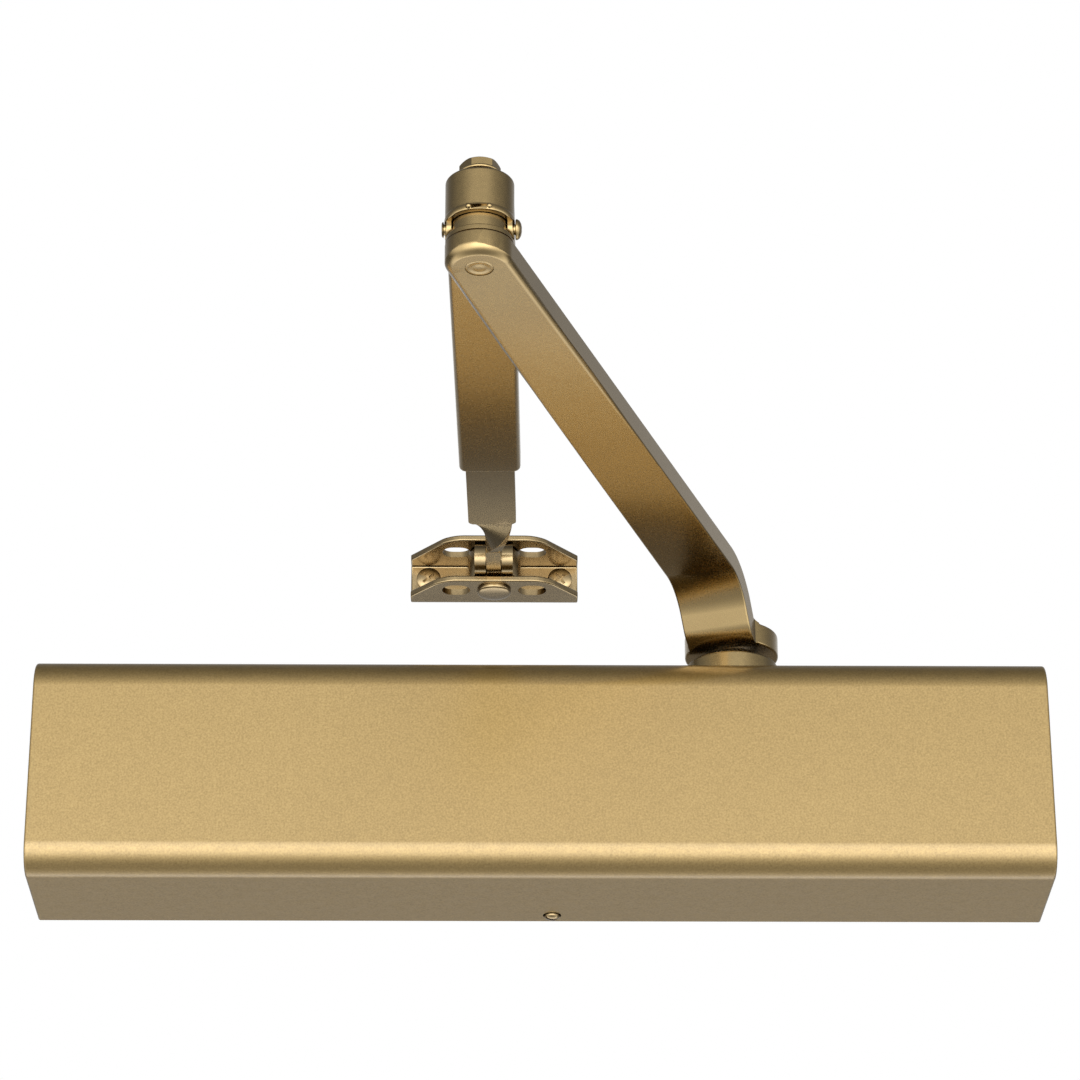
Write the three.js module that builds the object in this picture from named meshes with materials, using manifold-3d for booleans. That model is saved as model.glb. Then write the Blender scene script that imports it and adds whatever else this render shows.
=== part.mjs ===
// Surface-mounted door closer with a full cover, a two-piece adjustable arm and a frame shoe.
// Millimetres. Origin at the middle of the closer's back, on the door face; +Y goes into the
// door, +X runs along the cover and +Z is up. The arm is folded as on a closed door.
import * as THREE from 'three';
import { mergeVertices } from 'three/addons/utils/BufferGeometryUtils.js';
import Module from 'manifold-3d';

const wasm = await Module();
wasm.setup();

// cover
const coverLength = 318;
const coverHeight = 72;
const coverDepth = 47;
const coverWall = 2;
const coverTopRadius = 11;
const coverBottomRadius = 9;
const coverScrewX = 3.8;
const coverScrewY = -5.4;

// hydraulic body and what is in it
const spindleX = 61.3;
const spindleY = -24;
const boreRadius = 16;
const castingRadius = 20.5;
const castingHalf = 146;
const lugX = 136;
const lugZ = 27;
const sealRadius = 14.85;
const sealSection = 0.85;
const runningGap = 0.1;
const restGap = 0.3;

// pinion and rack
const gearModule = 2;
const pinionTeeth = 10;
const pitchRadius = gearModule * pinionTeeth / 2;
const toothPitch = Math.PI * gearModule;
const backlash = 0.3;
const toothHeightZ = 14;

// main arm: hub disc on the spindle, gooseneck, flat bar
const armLength = 231.8;
const armAzimuth = THREE.MathUtils.degToRad(249.9);
const armThick = 7.2;
const hubRadius = 14.9;
const hubBottomZ = 44.3;
const armUnderElbowZ = 65;
const armRise = 0.022;
const neckWidth = 21.8;
const noseWidth = 19;
const neckAngle = THREE.MathUtils.degToRad(55);

// knuckle and forearm, on the elbow axis
const crossPinZ = 77.15;
const crossPinRadius = 1.5;
const crossPinBore = 1.6;
const rivetRadius = 3.85;
const rivetBore = 3.95;
const postFootRadius = 9.3;
const postFootZ = 72.8;
const postFootTop = 73.9;
const postRadius = 7.85;
const capRadius = 9.5;
const capBore = 8.2;
const capRimRadius = 9.7;
const capBottomZ = 78.3;
const capTopZ = 91.9;
const earRadius = 2.9;
const boltAcrossFlats = 10;
const boltFlangeRadius = 6;
const boltShankRadius = 2.9;
const boltTurn = THREE.MathUtils.degToRad(37);
const forearmTurn = THREE.MathUtils.degToRad(-0.84);
const sleeveEnd = 155;
const lockScrewY = 140;
const sleeveBottomZ = 79.6;
const sleeveHeight = 7.4;
const sleeveWidth = 19;
const rodWidth = 15.2;
const rodThick = 4.2;
const rodStart = 60;
const rodFlatEnd = 195;
const rodZ = sleeveBottomZ + sleeveHeight / 2;
const neckLength = 14;
const neckWidthStart = 12.8;
const tipThick = 4.6;
const tipHeight = 8.6;
const yokePinY = 222.7;
const yokePinZ = 81.9;

// shoe
const shoeAxisY = 230.7;
const shoeWidth = 54.8;
const shoeBottomZ = 74.55;
const shoeHeight = 14.6;
const shoeSheet = 2;
const lowerFlangeDepth = 18;
const upperFlangeDepth = 22.2;
const drumRadius = 8.8;
const slotLength = 9.2;
const slotWidth = 7.4;
const slotX = 12.4;
const slotRound = 3.65;
const yokePinRadius = 1.8;

const elbow = new THREE.Vector2(
  spindleX + armLength * Math.cos(armAzimuth),
  spindleY + armLength * Math.sin(armAzimuth)
);

// geometry helpers

function solid(geometry) {
  const bare = geometry.clone();
  bare.deleteAttribute('normal');
  bare.deleteAttribute('uv');
  const merged = mergeVertices(bare, 1e-4);
  return new wasm.Manifold(new wasm.Mesh({
    numProp: 3,
    vertProperties: new Float32Array(merged.attributes.position.array),
    triVerts: new Uint32Array(merged.index.array)
  }));
}

function geometryOf(manifold) {
  const mesh = manifold.getMesh();
  const geometry = new THREE.BufferGeometry();
  geometry.setAttribute('position', new THREE.BufferAttribute(new Float32Array(mesh.vertProperties), 3));
  geometry.setIndex(new THREE.BufferAttribute(new Uint32Array(mesh.triVerts), 1));
  geometry.computeVertexNormals();
  return geometry;
}

function join(...parts) {
  return geometryOf(parts.map(solid).reduce((a, b) => a.add(b)));
}

function cut(base, ...tools) {
  return geometryOf(tools.map(solid).reduce((a, b) => a.subtract(b), solid(base)));
}

function common(a, b) {
  return geometryOf(solid(a).intersect(solid(b)));
}

// box from its low and high corners
function block(x0, x1, y0, y1, z0, z1) {
  const box = new THREE.BoxGeometry(x1 - x0, y1 - y0, z1 - z0);
  return box.translate((x0 + x1) / 2, (y0 + y1) / 2, (z0 + z1) / 2);
}

// upright cylinder between two heights
function post(radius, z0, z1, x = 0, y = 0, sides = 32) {
  const cylinder = new THREE.CylinderGeometry(radius, radius, z1 - z0, sides);
  return cylinder.rotateX(Math.PI / 2).translate(x, y, (z0 + z1) / 2);
}

// cylinder along X between two places
function barX(radius, x0, x1, y = 0, z = 0, sides = 32) {
  const cylinder = new THREE.CylinderGeometry(radius, radius, x1 - x0, sides);
  return cylinder.rotateZ(-Math.PI / 2).translate((x0 + x1) / 2, y, z);
}

// turned part about Z from (radius, z) points
function turned(points, sides = 32) {
  const profile = points.map(([r, z]) => new THREE.Vector2(r, z));
  return new THREE.LatheGeometry(profile, sides).rotateX(Math.PI / 2);
}

// turned part about X from (radius, x) points
function turnedX(points, sides = 32) {
  return turned(points, sides).rotateY(Math.PI / 2);
}

// plate from an outline in XY, between two heights
function plate(shape, z0, z1, curveSegments = 12) {
  const options = { depth: z1 - z0, bevelEnabled: false, curveSegments };
  return new THREE.ExtrudeGeometry(shape, options).translate(0, 0, z0);
}

// plate from an outline in YZ, between two places along X
function plateX(shape, x0, x1, curveSegments = 12) {
  const options = { depth: x1 - x0, bevelEnabled: false, curveSegments };
  const flat = new THREE.ExtrudeGeometry(shape, options);
  return flat.rotateX(Math.PI / 2).rotateZ(Math.PI / 2).translate(x0, 0, 0);
}

function polygon(points) {
  return new THREE.Shape(points.map(([x, y]) => new THREE.Vector2(x, y)));
}

// rectangle with round corners, centred on a point
function roundRect(width, height, radius, cx = 0, cy = 0) {
  const shape = new THREE.Shape();
  const x = cx - width / 2;
  const y = cy - height / 2;
  shape.moveTo(x + radius, y);
  shape.lineTo(x + width - radius, y);
  shape.absarc(x + width - radius, y + radius, radius, -Math.PI / 2, 0);
  shape.lineTo(x + width, y + height - radius);
  shape.absarc(x + width - radius, y + height - radius, radius, 0, Math.PI / 2);
  shape.lineTo(x + radius, y + height);
  shape.absarc(x + radius, y + height - radius, radius, Math.PI / 2, Math.PI);
  shape.lineTo(x, y + radius);
  shape.absarc(x + radius, y + radius, radius, Math.PI, 1.5 * Math.PI);
  return shape;
}

// plain ring about Z
function ring(outer, inner, z0, z1, sides = 32) {
  return turned([[inner, z0], [outer, z0], [outer, z1], [inner, z1], [inner, z0]], sides);
}

// seal ring of six-sided section about X
function sealRingX(middle, section, x) {
  const points = [];
  for (let i = 0; i <= 6; i += 1) {
    const angle = 2 * Math.PI * i / 6;
    points.push([middle + section * Math.cos(angle), x + section * Math.sin(angle)]);
  }
  return turnedX(points, 24);
}

// hexagon prism about Z with flats across a size
function hexPost(acrossFlats, z0, z1) {
  const radius = acrossFlats / Math.sqrt(3);
  return post(radius, z0, z1, 0, 0, 6);
}

// materials

function finish(color, roughness, metalness) {
  return () => new THREE.MeshStandardMaterial({ color, roughness, metalness });
}

const goldPaint = finish(0xc4a870, 0.42, 0.6);
const armPaint = finish(0x927648, 0.38, 0.7);
const brassPlate = finish(0xa58a58, 0.3, 0.9);
const castIron = finish(0x5b5a58, 0.7, 0.5);
const steel = finish(0x9a9a9c, 0.35, 0.95);
const rubber = finish(0x1c1c1c, 0.9, 0);

const root = new THREE.Group();
const bodyGroup = new THREE.Group();
const cylinderGroup = new THREE.Group();
const spindleSeatGroup = new THREE.Group();
const spindleGroup = new THREE.Group();
const knuckleGroup = new THREE.Group();
const shoeGroup = new THREE.Group();
cylinderGroup.position.set(0, spindleY, 0);
spindleSeatGroup.position.set(spindleX, spindleY, 0);
spindleGroup.position.set(spindleX, spindleY, 0);
spindleGroup.rotation.z = armAzimuth;
knuckleGroup.position.set(elbow.x, elbow.y, 0);
knuckleGroup.rotation.z = forearmTurn;
shoeGroup.position.set(
  elbow.x - shoeAxisY * Math.sin(forearmTurn),
  elbow.y + shoeAxisY * Math.cos(forearmTurn),
  0
);
root.add(bodyGroup, cylinderGroup, spindleSeatGroup, spindleGroup, knuckleGroup, shoeGroup);

function place(group, name, geometry, material, x = 0, y = 0, z = 0) {
  const mesh = new THREE.Mesh(geometry, material());
  mesh.name = name;
  mesh.position.set(x, y, z);
  group.add(mesh);
}

// cover

function coverOutline(inset) {
  const top = coverHeight / 2 - inset;
  const front = -coverDepth + inset;
  const back = inset > 0 ? 1 : 0;
  const topR = coverTopRadius - inset;
  const bottomR = coverBottomRadius - inset;
  const shape = new THREE.Shape();
  shape.moveTo(back, -top);
  shape.lineTo(back, top);
  shape.lineTo(front + topR, top);
  shape.absarc(front + topR, top - topR, topR, Math.PI / 2, Math.PI);
  shape.lineTo(front, -top + bottomR);
  shape.absarc(front + bottomR, -top + bottomR, bottomR, Math.PI, 1.5 * Math.PI);
  shape.lineTo(back, -top);
  return shape;
}

function makeCover() {
  const half = coverLength / 2;
  const shell = cut(
    plateX(coverOutline(0), -half, half),
    plateX(coverOutline(coverWall), -half + coverWall, half - coverWall),
    post(15, coverHeight / 2 - coverWall - 1, coverHeight / 2 + 1, spindleX, spindleY),
    post(1.9, -coverHeight / 2 - 1, -coverHeight / 2 + coverWall + 1, coverScrewX, coverScrewY, 24)
  );
  place(bodyGroup, 'cover', shell, goldPaint);
  const head = turned([[0, 0], [1.9, 0], [2.4, 0.5], [2.4, 1.2], [1.4, 1.3], [1.4, 6], [0, 6]], 24);
  place(bodyGroup, 'cover_screw', head, brassPlate, coverScrewX, coverScrewY, -coverHeight / 2 - 1.4);
  const tab = block(-9, 9, -12, -0.5, -33.6, -32);
  const web = block(-9, 9, -2.2, -0.5, -33.6, -14.4);
  const bracket = cut(join(tab, web), post(1.6, -35, -31, coverScrewX, coverScrewY, 24));
  place(bodyGroup, 'cover_bracket', bracket, steel);
}

// hydraulic body

function makeCasting() {
  const back = -spindleY;
  const spine = block(-castingHalf, castingHalf, back - 12, back, -14, 14);
  const bosses = post(15.5, -31, 31, spindleX, 0);
  const valveBlock = block(92, 132, -6, 8, -26, -14);
  const lugs = [];
  const holes = [];
  for (const side of [-1, 1]) {
    const inner = side * (lugX - 9);
    const outer = side * castingHalf;
    lugs.push(block(Math.min(inner, outer), Math.max(inner, outer), back - 7, back, -33, 33));
    for (const level of [-1, 1]) {
      const hole = new THREE.CylinderGeometry(2.9, 2.9, 40, 12).translate(side * lugX, back, level * lugZ);
      holes.push(hole);
    }
  }
  const barrel = barX(castingRadius, -castingHalf, castingHalf);
  const valveHoles = [100, 112, 124].map((x) => post(2.7, -30, -17.8, x, 1, 16));
  const casting = cut(
    join(barrel, spine, bosses, valveBlock, ...lugs),
    barX(boreRadius, -castingHalf - 1, castingHalf + 1),
    barX(18, castingHalf - 16, castingHalf + 1),
    barX(18, -castingHalf - 1, -castingHalf + 16),
    post(11.3, -32, 32, spindleX, 0),
    ...holes,
    ...valveHoles
  );
  place(cylinderGroup, 'body_casting', casting, castIron);
}

function makeEndPlugs() {
  const face = castingHalf + 3;
  const seat = castingHalf - 15.5;
  const outline = (bore) => [
    [bore, 122], [15.6, 122], [15.6, 125.6], [13.8, 125.6], [13.8, 128.4], [15.6, 128.4],
    [15.6, seat], [17.7, seat], [17.7, face], [bore, face], [bore, 122]
  ];
  const hexSocket = new THREE.CylinderGeometry(5, 5, 8, 6).rotateZ(Math.PI / 2).translate(face - 3, 0, 0);
  const solidPlug = [[0, 122], ...outline(0).slice(1, -2), [0, face]];
  place(cylinderGroup, 'end_plug_right', cut(turnedX(solidPlug), hexSocket), steel);
  const left = turnedX(outline(5.4)).rotateZ(Math.PI);
  place(cylinderGroup, 'end_plug_left', left, steel);
  place(cylinderGroup, 'end_seal_right', sealRingX(sealRadius, sealSection, 127), rubber);
  place(cylinderGroup, 'end_seal_left', sealRingX(sealRadius, sealSection, -127), rubber);
}

function makeSpindleSeats() {
  const journal = 8 + runningGap;
  for (const [name, z0, z1] of [['upper_bearing', 18.3, 28], ['lower_bearing', -28, -18.3]]) {
    place(spindleSeatGroup, name, ring(11.2, journal, z0, z1), steel);
  }
  place(spindleSeatGroup, 'spindle_seal', ring(11.2, journal, 28.3, 30.8), rubber);
  place(spindleSeatGroup, 'pinion_cap', post(11.2, -31, -28.8), steel);
  const collar = turned([
    [8.6, 31.3], [14.6, 31.3], [14.6, 40.7], [14.1, 41.2], [8.6, 41.2], [8.6, 31.3]
  ], 40);
  place(spindleSeatGroup, 'spindle_collar', collar, goldPaint);
}

function makeValves() {
  const names = ['sweep_valve', 'latch_valve', 'backcheck_valve'];
  names.forEach((name, index) => {
    const screw = turned([[0, -29], [2.2, -29], [2.5, -28.6], [2.5, -20], [0, -18.2]], 12);
    const socket = hexPost(2.5, -30, -26.5);
    place(cylinderGroup, name, cut(screw, socket), steel, 100 + 12 * index, 1, 0);
  });
}

// piston, spring and power adjuster

const pistonLeft = 34;
const pistonRight = 121;
const leftGroove = 38;
const rightGroove = 117;
const grooveRadius = 13.9;
const grooveHalf = 1.4;
const slotLeft = 47.2;
const slotRight = 105.5;
const rackAddendum = 1.1;
const rackDedendum = 2.3;

// rack flanks lean at the pressure angle about the pitch line
function rackTooth(x) {
  const lean = Math.tan(THREE.MathUtils.degToRad(20));
  const halfPitchLine = (toothPitch / 2 - backlash / 2) / 2;
  const tip = halfPitchLine - rackAddendum * lean;
  const foot = halfPitchLine + rackDedendum * lean;
  const shape = polygon([
    [x - foot, -pitchRadius - rackDedendum - 0.5],
    [x + foot, -pitchRadius - rackDedendum - 0.5],
    [x + foot, -pitchRadius - rackDedendum],
    [x + tip, -pitchRadius + rackAddendum],
    [x - tip, -pitchRadius + rackAddendum],
    [x - foot, -pitchRadius - rackDedendum]
  ]);
  return plate(shape, -toothHeightZ / 2, toothHeightZ / 2);
}

function makePiston() {
  const radius = boreRadius - runningGap;
  const groove = (x) => [
    [radius, x - grooveHalf], [grooveRadius, x - grooveHalf], [grooveRadius, x + grooveHalf],
    [radius, x + grooveHalf]
  ];
  const barrel = turnedX([
    [0, pistonLeft], [radius - 0.6, pistonLeft], [radius, pistonLeft + 0.6], ...groove(leftGroove),
    ...groove(rightGroove), [radius, pistonRight - 0.6], [radius - 0.6, pistonRight], [0, pistonRight]
  ]);
  const slot = block(slotLeft, slotRight, -pitchRadius - rackDedendum, 12.6, -17, 17);
  const teeth = [];
  for (let k = -2; k <= 6; k += 1) {
    teeth.push(rackTooth(spindleX + (k + 0.5) * toothPitch));
  }
  const valveSeat = barX(3.2, pistonRight - 5, pistonRight + 1, 0, 0, 24);
  const oilway = barX(1.6, slotRight - 1, pistonRight + 1, 0, 0, 16);
  const piston = cut(join(cut(barrel, slot), ...teeth), valveSeat, oilway);
  place(cylinderGroup, 'piston', piston, steel);
  place(cylinderGroup, 'piston_seal_left', sealRingX(sealRadius, sealSection, leftGroove), rubber);
  place(cylinderGroup, 'piston_seal_right', sealRingX(sealRadius, sealSection, rightGroove), rubber);
  const disc = turnedX([[1, 116.4], [2.9, 116.4], [2.9, 119.6], [1, 119.6], [1, 116.4]], 20);
  place(cylinderGroup, 'check_valve', disc, steel);
}

const springWire = 2.1;
const springTurns = 10;

class Helix extends THREE.Curve {
  constructor(radius, x0, x1, turns) {
    super();
    Object.assign(this, { radius, x0, x1, turns });
  }

  getPoint(t, target = new THREE.Vector3()) {
    const angle = 2 * Math.PI * this.turns * t;
    const x = this.x0 + (this.x1 - this.x0) * t;
    return target.set(x, this.radius * Math.cos(angle), this.radius * Math.sin(angle));
  }
}

function makeSpring() {
  const corners = [0, 1, 2, 3, 4, 5].map((i) => i * Math.PI / 3);
  const section = polygon(corners.map((a) => [springWire * Math.cos(a), springWire * Math.sin(a)]));
  const coil = new THREE.ExtrudeGeometry(section, {
    steps: springTurns * 10,
    bevelEnabled: false,
    extrudePath: new Helix(12.6, -105 + springWire, pistonLeft - springWire - restGap, springTurns)
  });
  place(cylinderGroup, 'main_spring', coil, steel);
  const seat = turnedX([
    [5.3, -112], [15.3, -112], [15.3, -108.5], [9.6, -108.5], [9.6, -100], [5.3, -100], [5.3, -112]
  ]);
  place(cylinderGroup, 'spring_seat', seat, steel);
  const screw = turnedX([[0, -153.5], [4.2, -153.5], [5.1, -152.6], [5.1, -88], [4.2, -87], [0, -87]], 32);
  const socket = new THREE.CylinderGeometry(3, 3, 8, 6).rotateZ(Math.PI / 2).translate(-152, 0, 0);
  place(cylinderGroup, 'power_adjuster', cut(screw, socket), steel);
}

// spindle and main arm (local X runs from the spindle to the elbow)

// half angle that a tooth fills at a radius, for an involute from the base circle
function toothHalfAngle(radius) {
  const pressure = THREE.MathUtils.degToRad(20);
  const baseRadius = pitchRadius * Math.cos(pressure);
  const involute = (angle) => Math.tan(angle) - angle;
  const here = Math.acos(Math.min(1, baseRadius / radius));
  const atPitch = (toothPitch / 2 - backlash / 2) / (2 * pitchRadius);
  return atPitch + involute(pressure) - involute(here);
}

function pinionOutline() {
  const baseRadius = pitchRadius * Math.cos(THREE.MathUtils.degToRad(20));
  const tipRadius = pitchRadius + gearModule;
  const rootRadius = 8.5;
  const points = [];
  const add = (radius, angle) => points.push([radius * Math.cos(angle), radius * Math.sin(angle)]);
  for (let tooth = 0; tooth < pinionTeeth; tooth += 1) {
    const middle = -Math.PI / 2 + tooth * 2 * Math.PI / pinionTeeth;
    const radii = [0, 0.3, 0.6, 1].map((t) => baseRadius + (tipRadius - baseRadius) * t);
    add(rootRadius, middle - toothHalfAngle(baseRadius));
    radii.forEach((radius) => add(radius, middle - toothHalfAngle(radius)));
    radii.reverse().forEach((radius) => add(radius, middle + toothHalfAngle(radius)));
    add(rootRadius, middle + toothHalfAngle(baseRadius));
  }
  return polygon(points);
}

function makeShaft() {
  const gear = plate(pinionOutline(), -toothHeightZ / 2, toothHeightZ / 2);
  const shaft = turned([
    [0, -28.4], [7.4, -28.4], [8, -27.8], [8, 43.6], [7.4, 44], [0, 44]
  ]);
  const square = block(-5.2, 5.2, -5.2, 5.2, 43, 50.4);
  const body = cut(join(gear, shaft, square), post(2.8, 36, 52, 0, 0, 20));
  place(spindleSeatGroup, 'pinion_shaft', body, steel);
}

// height of the bar's middle line at a distance from the spindle
function barMiddleZ(distance) {
  return armUnderElbowZ + armThick / 2 - armRise * (armLength - distance);
}

// side profile: hub level, a bend up, a straight rise, a bend back to the bar
function gooseneckLine() {
  const lowRadius = 7;
  const highRadius = 22;
  const start = 7.6;
  const hubZ = hubBottomZ + armThick / 2;
  const slope = Math.atan(armRise);
  const line = [[-hubRadius - 1, hubZ, 0], [start, hubZ, 0]];
  for (let i = 1; i <= 6; i += 1) {
    const angle = neckAngle * i / 6;
    line.push([start + lowRadius * Math.sin(angle), hubZ + lowRadius * (1 - Math.cos(angle)), angle]);
  }
  const [footX, footZ] = line[line.length - 1];
  const bendX = highRadius * (Math.sin(neckAngle) - Math.sin(slope));
  const bendZ = highRadius * (Math.cos(slope) - Math.cos(neckAngle));
  const straight = (barMiddleZ(footX + bendX) - footZ - bendZ)
    / (Math.sin(neckAngle) - armRise * Math.cos(neckAngle));
  const topX = footX + straight * Math.cos(neckAngle);
  const topZ = footZ + straight * Math.sin(neckAngle);
  for (let i = 0; i <= 10; i += 1) {
    const angle = neckAngle + (slope - neckAngle) * i / 10;
    const x = topX + highRadius * (Math.sin(neckAngle) - Math.sin(angle));
    const z = topZ + highRadius * (Math.cos(angle) - Math.cos(neckAngle));
    line.push([x, z, angle]);
  }
  line.push([armLength + 14, barMiddleZ(armLength + 14), slope]);
  return line;
}

function makeMainArm() {
  const line = gooseneckLine();
  const half = armThick / 2;
  const upper = line.map(([x, z, angle]) => [x - half * Math.sin(angle), z + half * Math.cos(angle)]);
  const lower = line.map(([x, z, angle]) => [x + half * Math.sin(angle), z - half * Math.cos(angle)]);
  const profile = polygon([...upper, ...lower.reverse()]);
  const options = { depth: 40, bevelEnabled: false };
  const ribbon = new THREE.ExtrudeGeometry(profile, options).translate(0, 0, -20).rotateX(Math.PI / 2);
  const plan = new THREE.Shape();
  plan.moveTo(0, -neckWidth / 2);
  plan.lineTo(40, -neckWidth / 2);
  plan.lineTo(armLength, -noseWidth / 2);
  plan.absarc(armLength, 0, noseWidth / 2, -Math.PI / 2, Math.PI / 2);
  plan.lineTo(40, neckWidth / 2);
  plan.lineTo(0, neckWidth / 2);
  const blank = join(plate(plan, 0, 100), post(hubRadius, 0, 100));
  const square = block(-5.5, 5.5, -5.5, 5.5, 40, 60).rotateZ(-armAzimuth);
  const arm = cut(common(ribbon, blank), square, post(rivetBore, 60, 80, armLength));
  place(spindleGroup, 'main_arm', arm, armPaint);
  place(spindleGroup, 'elbow_rivet', post(rivetRadius, armUnderElbowZ, 74.4, armLength), armPaint);
}

function makeArmScrew() {
  const top = hubBottomZ + armThick;
  place(spindleSeatGroup, 'arm_washer', ring(7.2, 3.1, top + restGap, top + 1.6, 32), steel);
  const head = join(hexPost(8, top + 1.9, top + 5.4), post(2.6, 38, top + 2.5, 0, 0, 20));
  place(spindleSeatGroup, 'arm_screw', head, steel);
}

// knuckle and forearm (local Y runs along the forearm)

function makeKnucklePost() {
  const neck = turned([
    [0, postFootZ], [postFootRadius, postFootZ], [postFootRadius, postFootTop], [postRadius, postFootTop],
    [postRadius, 80.2], [5.4, 83.4], [4.6, 85.8], [0, 86.3]
  ]);
  const shaped = cut(neck, post(rivetBore, 72, 74.8), barX(crossPinBore, -12, 12, 0, crossPinZ, 16));
  place(knuckleGroup, 'knuckle_post', shaped, armPaint);
}

function makeKnuckleCap() {
  const cup = turned([
    [capBore, capBottomZ], [capRimRadius - 0.5, capBottomZ], [capRimRadius, capBottomZ + 0.5],
    [capRimRadius, capBottomZ + 1.5], [capRadius, capBottomZ + 1.9], [capRadius, capTopZ - 0.8],
    [capRadius - 0.8, capTopZ], [3.1, capTopZ], [3.1, capTopZ - 3], [capBore, capTopZ - 3],
    [capBore, capBottomZ]
  ]);
  const ears = common(
    plateX(earOutline(earRadius, crossPinZ, capBottomZ + 1), -12, 12),
    ring(capRadius, capBore, 70, capBottomZ + 1)
  );
  const pinBore = barX(crossPinBore, -12, 12, 0, crossPinZ, 16);
  place(knuckleGroup, 'knuckle_cap', cut(join(cup, ears), pinBore), armPaint);
}

// tongue hanging down to a round end about a pin
function earOutline(radius, pinZ, topZ) {
  const shape = new THREE.Shape();
  shape.moveTo(-radius, topZ);
  shape.lineTo(-radius, pinZ);
  shape.absarc(0, pinZ, radius, Math.PI, 2 * Math.PI);
  shape.lineTo(radius, topZ);
  return shape;
}

function makeKnuckleBolt() {
  const low = capTopZ + 0.1;
  const shank = post(boltShankRadius, 87.6, low + 0.3, 0, 0, 24);
  const flange = turned([
    [0, low], [5.2, low], [5.2, low + 1.1], [boltFlangeRadius, low + 1.4], [boltFlangeRadius, low + 1.9],
    [5.6, low + 2.2], [0, low + 2.2]
  ]);
  const hexLow = low + 2.1;
  const top = capTopZ + 5.7;
  const chamfer = turned([[0, hexLow], [6, hexLow], [6, top - 0.8], [5, top], [0, top]], 24);
  const hex = common(hexPost(boltAcrossFlats, hexLow, top).rotateZ(boltTurn), chamfer);
  place(knuckleGroup, 'knuckle_bolt', join(shank, flange, hex), armPaint);
  const pin = turnedX([
    [0, -10.4], [1.9, -10.4], [2.3, -9.9], [crossPinRadius, -9.8], [crossPinRadius, 9.8], [2.9, 9.9],
    [2.9, 10.3], [2.2, 11.2], [0, 11.6]
  ], 16);
  place(knuckleGroup, 'cross_pin', pin, armPaint, 0, 0, crossPinZ);
}

function makeForearm() {
  const middle = sleeveBottomZ + sleeveHeight / 2;
  const lengthwise = (shape, y0, y1) => {
    const options = { depth: y1 - y0, bevelEnabled: false, curveSegments: 4 };
    return new THREE.ExtrudeGeometry(shape, options).rotateX(-Math.PI / 2).translate(0, y0, middle);
  };
  const outer = lengthwise(roundRect(sleeveWidth, sleeveHeight, 1.5), 0, sleeveEnd);
  const inner = lengthwise(roundRect(rodWidth + 0.6, rodThick + 0.6, 0.6), -1, sleeveEnd + 1);
  const plan = plate(roundRect(sleeveWidth + 1, sleeveEnd * 2, 2.2, 0, 0), 70, 100, 4);
  const lockHole = post(1.8, middle, middle + 8, 0, lockScrewY, 20);
  const sleeve = cut(common(outer, plan), inner, post(capRadius + 0.5, 70, 100), lockHole);
  place(knuckleGroup, 'forearm_sleeve', sleeve, armPaint);
  const screwFoot = middle + rodThick / 2 + restGap;
  const sleeveTop = sleeveBottomZ + sleeveHeight;
  const lockScrew = join(
    post(1.65, screwFoot, sleeveTop + 0.5, 0, lockScrewY, 20),
    post(3.4, sleeveTop + restGap, sleeveTop + 2.4, 0, lockScrewY, 24)
  );
  place(knuckleGroup, 'length_screw', lockScrew, steel);
}

// bar end that turns through a right angle while it narrows to the tip's section
function twistedNeck(y0, y1) {
  const steps = 10;
  const bar = new THREE.BoxGeometry(1, y1 - y0, 1, 1, steps, 1);
  const position = bar.attributes.position;
  for (let i = 0; i < position.count; i += 1) {
    const t = position.getY(i) / (y1 - y0) + 0.5;
    const angle = t * Math.PI / 2;
    const wide = position.getX(i) * THREE.MathUtils.lerp(neckWidthStart, tipHeight, t);
    const thick = position.getZ(i) * THREE.MathUtils.lerp(rodThick, tipThick, t);
    const x = wide * Math.cos(angle) + thick * Math.sin(angle);
    const z = thick * Math.cos(angle) - wide * Math.sin(angle);
    const middle = THREE.MathUtils.lerp(rodZ, yokePinZ, t);
    position.setXYZ(i, x, y0 + t * (y1 - y0), middle + z);
  }
  return bar;
}

function makeRod() {
  const flat = plate(
    roundRect(rodWidth, rodFlatEnd - rodStart, 2, 0, (rodFlatEnd + rodStart) / 2),
    rodZ - rodThick / 2, rodZ + rodThick / 2, 4
  );
  const neckEnd = rodFlatEnd + neckLength;
  const tip = new THREE.Shape();
  tip.moveTo(neckEnd - 0.5, yokePinZ - tipHeight / 2);
  tip.lineTo(yokePinY, yokePinZ - tipHeight / 2);
  tip.absarc(yokePinY, yokePinZ, tipHeight / 2, -Math.PI / 2, Math.PI / 2);
  tip.lineTo(neckEnd - 0.5, yokePinZ + tipHeight / 2);
  const rod = cut(
    join(flat, twistedNeck(rodFlatEnd - 1, neckEnd), plateX(tip, -tipThick / 2, tipThick / 2)),
    barX(1.9, -8, 8, yokePinY, yokePinZ, 16)
  );
  place(knuckleGroup, 'forearm_rod', rod, armPaint);
}

// yoke and shoe

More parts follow.
